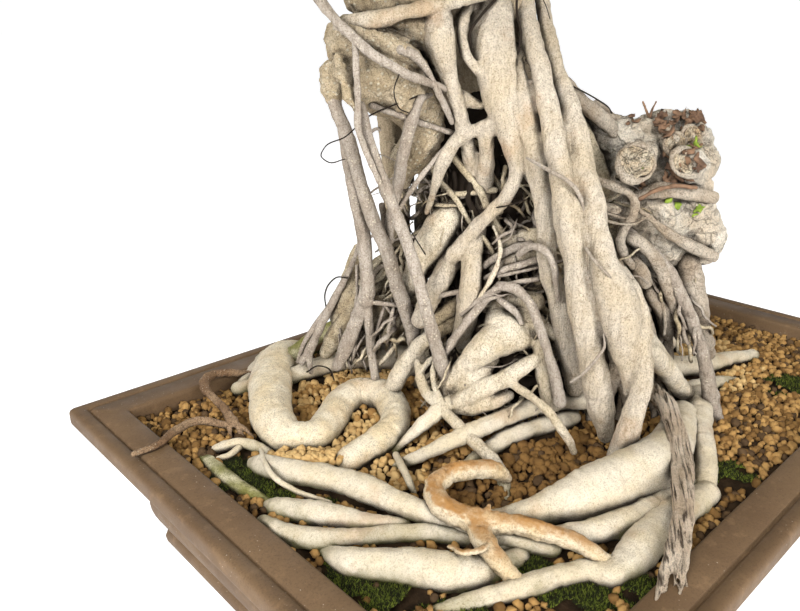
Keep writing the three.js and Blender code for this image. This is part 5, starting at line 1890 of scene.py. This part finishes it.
def icosphere():
    """A ball of 80 faces."""
    t = (1 + 5**0.5) / 2
    points = [[-1, t, 0], [1, t, 0], [-1, -t, 0], [1, -t, 0], [0, -1, t], [0, 1, t], [0, -1, -t], [0, 1, -t],
              [t, 0, -1], [t, 0, 1], [-t, 0, -1], [-t, 0, 1]]
    faces = [[0, 11, 5], [0, 5, 1], [0, 1, 7], [0, 7, 10], [0, 10, 11], [1, 5, 9], [5, 11, 4], [11, 10, 2],
             [10, 7, 6], [7, 1, 8], [3, 9, 4], [3, 4, 2], [3, 2, 6], [3, 6, 8], [3, 8, 9], [4, 9, 5],
             [2, 4, 11], [6, 2, 10], [8, 6, 7], [9, 8, 1]]
    points = [unit(np.array(point)) for point in points]
    halves = {}
    fine = []

    def half(a, b):
        """Number of the point half way between two, made once."""
        key = (min(a, b), max(a, b))
        if key not in halves:
            points.append(unit(points[a] + points[b]))
            halves[key] = len(points) - 1
        return halves[key]

    for a, b, c in faces:
        ab, bc, ca = half(a, b), half(b, c), half(c, a)
        fine += [[a, ab, ca], [b, bc, ab], [c, ca, bc], [ab, bc, ca]]
    return np.array(points), np.array(fine)


def turns(rng, count):
    """Random rotations."""
    w, x, y, z = units(rng.normal(size=(count, 4))).T
    return np.stack([
        np.stack([1 - 2 * (y * y + z * z), 2 * (x * y - z * w), 2 * (x * z + y * w)], -1),
        np.stack([2 * (x * y + z * w), 1 - 2 * (x * x + z * z), 2 * (y * z - x * w)], -1),
        np.stack([2 * (x * z - y * w), 2 * (y * z + x * w), 1 - 2 * (x * x + y * y)], -1),
    ], 1)


def grains(rng, places, sizes):
    """Rough rounded granules at the places."""
    points, faces = icosphere()
    count = len(places)
    rough = 1 + 0.13 * rng.normal(size=(count, len(points)))
    body = points[None] * rough[..., None] * rng.uniform(0.7, 1.25, size=(count, 1, 3))
    body = np.einsum("nij,npj->npi", turns(rng, count), body) * sizes[:, None, None] + places[:, None]
    return copies(body, faces)


def root_cover(x, y):
    """True where a surface root, the mound or the stump's foot stands over the soil."""
    covered = np.hypot((x - BASE[0]) / CORE_STRETCH[0], (y - BASE[1]) / CORE_STRETCH[1]) < CORE_RADIUS - 4
    roots = [laid(stations) for stations in PALE_ROOTS.values()]
    roots += [hidden_root(k) for k in range(HIDDEN_ROOTS)]
    for stations in roots:
        for px, py, pz, r in smooth_line(stations, 4):
            if pz - soil_top(px, py) < r + 4:
                covered |= np.hypot(x - px, y - py) < r * 0.98
    px, py, reach = STUMP_COVER
    return covered | (np.hypot(x - px, y - py) < reach)


def moss_places():
    """All moss cushions: x, y, reach."""
    spots = laid([[x, y, 0, 1] for x, y, _ in MOSS_SPOTS])
    return MOSS_PLACES + [(spot[0], spot[1], place[2]) for spot, place in zip(spots, MOSS_SPOTS)]


def spread_grains(rng):
    """Granules laid over the bed in shifted rows: rows [x, y, z, radius, tone]."""
    half_x = INSIDE_X - GRAIN_MARGIN
    half_y = INSIDE_Y - GRAIN_MARGIN
    across = np.arange(-half_x, half_x, GRAIN_SPACING)
    x, y = np.meshgrid(across, np.arange(-half_y, half_y, GRAIN_SPACING * ROW_SHARE))
    x = (x + (np.arange(x.shape[0]) % 2)[:, None] * GRAIN_SPACING / 2).ravel() + rng.normal(0, 1.0, x.size)
    y = y.ravel() + rng.normal(0, 1.0, y.size)
    keep = (np.abs(x) < half_x) & (np.abs(y) < half_y) & ~root_cover(x, y)
    keep &= near(x, y, moss_places()) < rng.uniform(0.05, 0.5, x.size)
    x, y = x[keep], y[keep]
    size = rng.uniform(*GRAIN_RADII, x.size)
    z = soil_top(x, y) - 1.2 + size * 0.35 + rng.uniform(-0.6, 1.2, x.size)
    gold = near(x, y, GOLD_PLACES)
    brown = near(x, y, BROWN_PLACES)
    draw = rng.uniform(0, 1, x.size)
    tone = np.where(draw < 0.14, DARK, np.where(draw < 0.5, BROWN_GRAIN, TAN))
    tone = np.where((brown > 0) & (draw > 0.12), BROWN_GRAIN, tone)
    tone = np.where((gold > 0) & (draw < 0.35 + gold) & (brown <= 0), GOLD, tone)
    keep = (brown <= 0) | (rng.uniform(0, 1, x.size) < 0.94)
    size = np.where(brown > 0, size * BROWN_SWELL, size)
    return np.c_[x, y, z, size, tone][keep]


def heaped_grains(rng):
    """Golden granules heaped between the roots: rows [x, y, z, radius, tone]."""
    heaps = []
    for (px, py), (wide, tall), height, count in GRAIN_HEAPS:
        turn = rng.uniform(0, FULL_TURN, count)
        far = np.sqrt(rng.uniform(0, 1, count))
        x = px + wide * far * np.cos(turn)
        y = py + tall * far * np.sin(turn)
        heap = np.array(laid(np.c_[x, y, height - 4 * far, np.ones(count)]))
        heaps.append(np.c_[heap[:, :3], rng.uniform(*HEAP_RADII, count), np.full(count, GOLD)])
    return heaps


def build_grains():
    """Granules over the bed, golden, tan, brown or dark by place."""
    rng = np.random.default_rng(SEED + 1)
    rows = np.vstack([spread_grains(rng), *heaped_grains(rng)])
    for index, (name, (base, other)) in enumerate(GRAIN_TONES.items()):
        picked = rows[rows[:, 4] == index]
        finish = grainy(f"grain_{name}", base, other, 130, 0.95, 0.7, specular=0.15)
        piece(f"grains_{name}", grains(rng, picked[:, :3], picked[:, 3]), finish, "soil")


def blade_feet(rng, name):
    """Where the blades of one tone stand in the moss cushions."""
    points = []
    for k, (px, py, reach) in enumerate(moss_places()):
        shaded = 0 <= k - len(MOSS_PLACES) < DARK_MOSS
        count = int(reach * reach * (SHADED_COUNT if shaded and name == "bright" else BLADE_COUNT))
        far = reach * np.sqrt(rng.uniform(0, 1, count))
        turn = rng.uniform(0, FULL_TURN, count)
        x = px + far * np.cos(turn)
        y = py + far * np.sin(turn)
        keep = noise(np.c_[x, y, np.full(count, reach)], 9, 41) > far / reach - 0.75
        keep &= (np.abs(x) < INSIDE_X - MOSS_MARGIN) & (np.abs(y) < INSIDE_Y - MOSS_MARGIN)
        hump = MOSS_HUMP * np.clip(1 - (far / reach) ** 2, 0, 1)
        points.append(np.c_[x, y, soil_top(x, y) - 2.6 + hump][keep])
    return np.vstack(points)


def build_moss():
    """Short upright blades in cushions."""
    rng = np.random.default_rng(SEED + 2)
    for name, (base, other) in MOSS_TONES.items():
        foot = blade_feet(rng, name)
        count = len(foot)
        lean = rng.normal(0, 0.45, size=(count, 2))
        tall = rng.uniform(*BLADE_HEIGHTS, count)
        wide = rng.uniform(*BLADE_WIDTHS, count)
        spin = rng.uniform(0, FULL_TURN, count)
        blade = np.zeros((count, 4, 3))
        for corner in range(3):
            angle = spin + corner * FULL_TURN / 3
            blade[:, corner] = foot + np.c_[wide * np.cos(angle), wide * np.sin(angle), np.zeros(count)]
        blade[:, 3] = foot + np.c_[lean * tall[:, None], tall]
        finish = grainy(f"moss_{name}", base, other, 220, 0.9, 0.3, specular=0.2)
        piece(f"moss_blades_{name}", copies(blade, BLADE_FACES), finish, "soil")


# Crown: twigs and leaves grown on from each bough by the solids' rule

LEAF_TONES = {
    "deep": ((38, 72, 26), (28, 56, 20)),
    "mid": ((58, 96, 34), (44, 78, 28)),
    "fresh": ((104, 140, 50), (84, 122, 42)),
}
TWIG_TONES = ("deep", "mid", "mid", "fresh")
SIDE_TONES = ("deep", "mid", "fresh")
PRIMARY_TWIGS = 26
SIDE_TWIGS = 7
GOLDEN_ANGLE = 2.39996
SIDE_TWIG_LENGTH = 62
LEAF_EVERY = 11
REACH_STEP = 6
LONGEST_REACH = 320
# Half a leaf's outline: share of the length, share of the width
LEAF_OUTLINE = [
    (0.0, 0.0), (0.10, 0.10), (0.30, 0.42), (0.52, 0.50), (0.74, 0.36), (0.90, 0.12), (1.0, 0.0),
]
LEAF_DROOP = 0.16
LEAF_FOLD = 0.28


def leaf_shapes(roots, axes, ups, sizes):
    """Leaves as folded pointed blades, all in one pair of arrays."""
    across = units(np.cross(axes, ups))
    normal = np.cross(across, axes)
    length = sizes[:, None] * LEAF_LENGTH
    width = sizes[:, None] * LEAF_WIDTH
    rows = []
    for along, half in LEAF_OUTLINE:
        spine = roots + axes * along * length - normal * LEAF_DROOP * along * along * length
        edge = across * half * width
        lift = normal * LEAF_FOLD * half * width
        rows.append([spine + edge + lift, spine, spine - edge + lift])
    rows = np.array(rows).transpose(2, 0, 1, 3)
    faces = []
    for i in range(len(LEAF_OUTLINE) - 1):
        for j in range(2):
            a = i * 3 + j
            faces += [[a, a + 1, a + 4], [a, a + 4, a + 3]]
    return copies(rows.reshape(len(roots), -1, 3), np.array(faces))


def twig(start, end, thick_start, thick_end, sides=5):
    """A thin tapering twig with a slight bow."""
    bow = np.cross(end - start, [0.3, 0.5, 0.8])
    middle = (start + end) / 2 + 0.05 * bow
    stations = [[*start, thick_start], [*middle, (thick_start + thick_end) / 2], [*end, thick_end]]
    return limb(stations, sides, max(9, np.linalg.norm(end - start) / 4), lumps=0, rings=0)


class Growth:
    """The twigs and leaves of one mass, kept inside it."""

    def __init__(self, mass, k, twigs, leaves):
        self.mass = mass
        self.k = k
        self.twigs = twigs
        self.leaves = leaves
        self.roll = random_source(SEED * 7 + k * 13)
        self.rng = np.random.default_rng(SEED + 50 + k)

    def reach(self, start, heading):
        """How far the mass goes on along a heading."""
        far = 0
        while far < LONGEST_REACH and self.mass.holds(start + heading * (far + REACH_STEP), 2):
            far += REACH_STEP
        return far

    def add_leaf(self, root, axis, size, tone):
        """A leaf, unless its tip would leave the mass or the crown."""
        axis = unit(axis)
        tip = root + axis * LEAF_LENGTH * size
        if not self.mass.holds(tip, 8) or np.any(tip < CROWN_LOW) or np.any(tip > CROWN_HIGH):
            return
        outward = (root - self.mass.centre) / self.mass.size
        up = unit(outward + np.array([0, 0, 0.9]) + self.rng.normal(0, 0.3, 3))
        self.leaves[tone].append((root, axis, up, size))

    def add_leaves(self, start, end, heading, every, tone):
        """Alternate leaves along a twig and one at its tip."""
        count = max(2, int(np.linalg.norm(end - start) / every))
        level = unit(np.cross(heading, [0.1, 0.2, 1.0]))
        for i in range(count):
            at = start + (end - start) * (0.25 + 0.75 * (i + 1) / count)
            side = level if i % 2 else -level
            axis = heading * 0.75 + side * 0.8 + self.rng.normal(0, 0.25, 3) + [0, 0, 0.12]
            self.add_leaf(at, axis, self.rng.uniform(0.72, 1.08), tone)
        axis = heading + self.rng.normal(0, 0.2, 3)
        self.add_leaf(end, axis, self.rng.uniform(0.7, 1.0), tone)

    def add_side_twigs(self, start, tip, heading, tone):
        """Leafy side twigs in a spiral along a twig."""
        level = unit(np.cross(heading, [0, 0, 1.0]) + 1e-6)
        upward = np.cross(level, heading)
        for s in range(SIDE_TWIGS):
            turn = s * 2.4 + self.rng.uniform(0, 0.8)
            side = unit(heading * 0.75 + level * math.cos(turn) + upward * math.sin(turn) * 0.8)
            base = start + (tip - start) * (0.30 + 0.65 * s / (SIDE_TWIGS - 1))
            room = min(self.reach(base, side) - LEAF_LENGTH * 0.5, SIDE_TWIG_LENGTH)
            if room < 8:
                continue
            end = base + side * room
            self.twigs.append(twig(base, end, 1.7, 0.9, 4))
            shade = tone if self.rng.uniform() < 0.7 else SIDE_TONES[int(self.rng.integers(0, 3))]
            self.add_leaves(base, end, side, LEAF_EVERY, shade)

    def grow(self, bough):
        """Primary twigs by the golden angle, side twigs on them and leaves."""
        end = np.array(bough[-1][:3])
        heart = self.mass.centre + (end - self.mass.centre) * 0.12
        foot = end + (heart - end) * -0.05
        self.twigs.append(twig(foot, heart, bough[-1][3] * 0.95, 4.2, 8))
        for i in range(PRIMARY_TWIGS):
            height = 0.95 - (1.7 * (i + 0.5)) / PRIMARY_TWIGS
            spin = i * GOLDEN_ANGLE + self.roll() * 0.4 + self.k
            flat = math.sqrt(max(0.05, 1 - height * height))
            heading = unit(np.array([flat * math.cos(spin), flat * math.sin(spin), height * 0.7]))
            start = foot + (heart - foot) * (0.5 + 0.48 * self.roll())
            far = self.reach(start, heading) - LEAF_LENGTH * 0.7
            if far < 12:
                self.add_leaves(start, start + heading * 10, heading, 8, "mid")
                continue
            tip = start + heading * far
            self.twigs.append(twig(start, tip, 3.0, 1.3))
            tone = TWIG_TONES[int(self.rng.integers(0, 4))]
            self.add_leaves(start + (tip - start) * 0.45, tip, heading, LEAF_EVERY, tone)
            self.add_side_twigs(start, tip, heading, tone)


def build_crown(masses, boughs):
    """All twigs in one piece and the leaves in one piece for each tone."""
    twigs = []
    leaves = {tone: [] for tone in LEAF_TONES}
    for k, mass in enumerate(masses):
        Growth(mass, k, twigs, leaves).grow(boughs[k])
    piece("twigs", joined(twigs), BROWN, "bark", [mass.name for mass in masses])
    for tone, (base, other) in LEAF_TONES.items():
        roots, axes, ups, sizes = (np.array(column) for column in zip(*leaves[tone]))
        finish = grainy(f"leaf_{tone}", base, other, 60, 0.38, 0.15, specular=0.5)
        piece(f"leaves_{tone}", leaf_shapes(roots, axes, ups, sizes), finish, "leaf")


# Stage: camera, floor and soft studio light, in metres and watts

CLIP_START = 0.02
FLOOR_SIZE = 60.0
FLOOR_TONE = (0.6, 0.6, 0.6, 1)
FLOOR_GLOW = 0.8
WHITE = (1, 1, 1, 1)
# The sky's glow, bright low down and dim above
SKY = {"From Min": 0.14, "From Max": 0.34, "To Min": 1.02, "To Max": 0.26}
LIGHT_AIM = np.array([-0.05, 0, 0.22])
# Lights: name, place, size, power
LIGHTS = [
    ("key", (-1.52, -0.46, 0.95), 0.55, 27),
    ("fill", (-0.45, -1.65, 0.66), 0.8, 23),
    ("front", (-0.95, -0.95, 1.5), 0.7, 11),
    ("back", (0.9, 1.4, 1.2), 1.2, 8),
]


def build_camera(scene):
    """The photograph's camera."""
    camera = bpy.data.objects.new("camera", bpy.data.cameras.new("camera"))
    camera.data.sensor_width = SENSOR
    camera.data.sensor_fit = "HORIZONTAL"
    camera.data.lens = FOCAL_PIXELS / IMAGE_WIDTH * SENSOR
    camera.data.clip_start = CLIP_START
    camera.location = CAMERA_PLACE * MM + TRAY_MIDDLE
    camera.rotation_euler = (math.pi / 2 - CAMERA_DOWN, 0, CAMERA_TURN)
    scene.collection.objects.link(camera)
    scene.camera = camera


def build_floor(scene):
    """A pale floor."""
    mesh = bpy.data.meshes.new("floor")
    corners = [(FLOOR_SIZE * sx, FLOOR_SIZE * sy, 0) for sx, sy in QUARTERS]
    mesh.from_pydata(corners, [], [(0, 1, 2, 3)])
    finish = bpy.data.materials.new("floor")
    finish.use_nodes = True
    inputs = finish.node_tree.nodes["Principled BSDF"].inputs
    inputs["Roughness"].default_value = 0.9
    inputs["Base Color"].default_value = FLOOR_TONE
    inputs["Emission Color"].default_value = WHITE
    inputs["Emission Strength"].default_value = FLOOR_GLOW
    mesh.materials.append(finish)
    floor = bpy.data.objects.new("floor", mesh)
    scene.collection.objects.link(floor)


def build_sky(scene):
    """A white sky that is brighter near the horizon."""
    world = bpy.data.worlds.new("studio")
    world.use_nodes = True
    sky = world.node_tree
    background = sky.nodes["Background"].inputs
    heading = node(sky, "ShaderNodeTexCoord").outputs["Generated"]
    climb = node(sky, "ShaderNodeSeparateXYZ", {0: heading}).outputs["Z"]
    glow = node(sky, "ShaderNodeMapRange", {"Value": climb}, **SKY)
    background["Color"].default_value = WHITE
    sky.links.new(glow.outputs["Result"], background["Strength"])
    scene.world = world


def build_lights(scene):
    """Large soft lights aimed at the roots."""
    for name, place, size, power in LIGHTS:
        light = bpy.data.objects.new(name, bpy.data.lights.new(name, "AREA"))
        light.data.shape = "DISK"
        light.data.size = size
        light.data.energy = power
        light.location = place
        aim = unit(LIGHT_AIM - place)
        light.rotation_euler = (math.acos(-aim[2]), 0, math.atan2(aim[1], aim[0]) - math.pi / 2)
        scene.collection.objects.link(light)


scene = bpy.context.scene
scene.view_settings.view_transform = "Standard"
build_camera(scene)
build_floor(scene)
build_sky(scene)
build_lights(scene)
masses = make_masses()
boughs = bough_stations(masses)
build_tray()
build_trunk(boughs)
build_shoulder()
build_mound()
build_columns()
build_tangle()
build_thin_roots()
build_roots()
build_stump()
build_soil()
build_grains()
build_moss()
build_crown(masses, boughs)
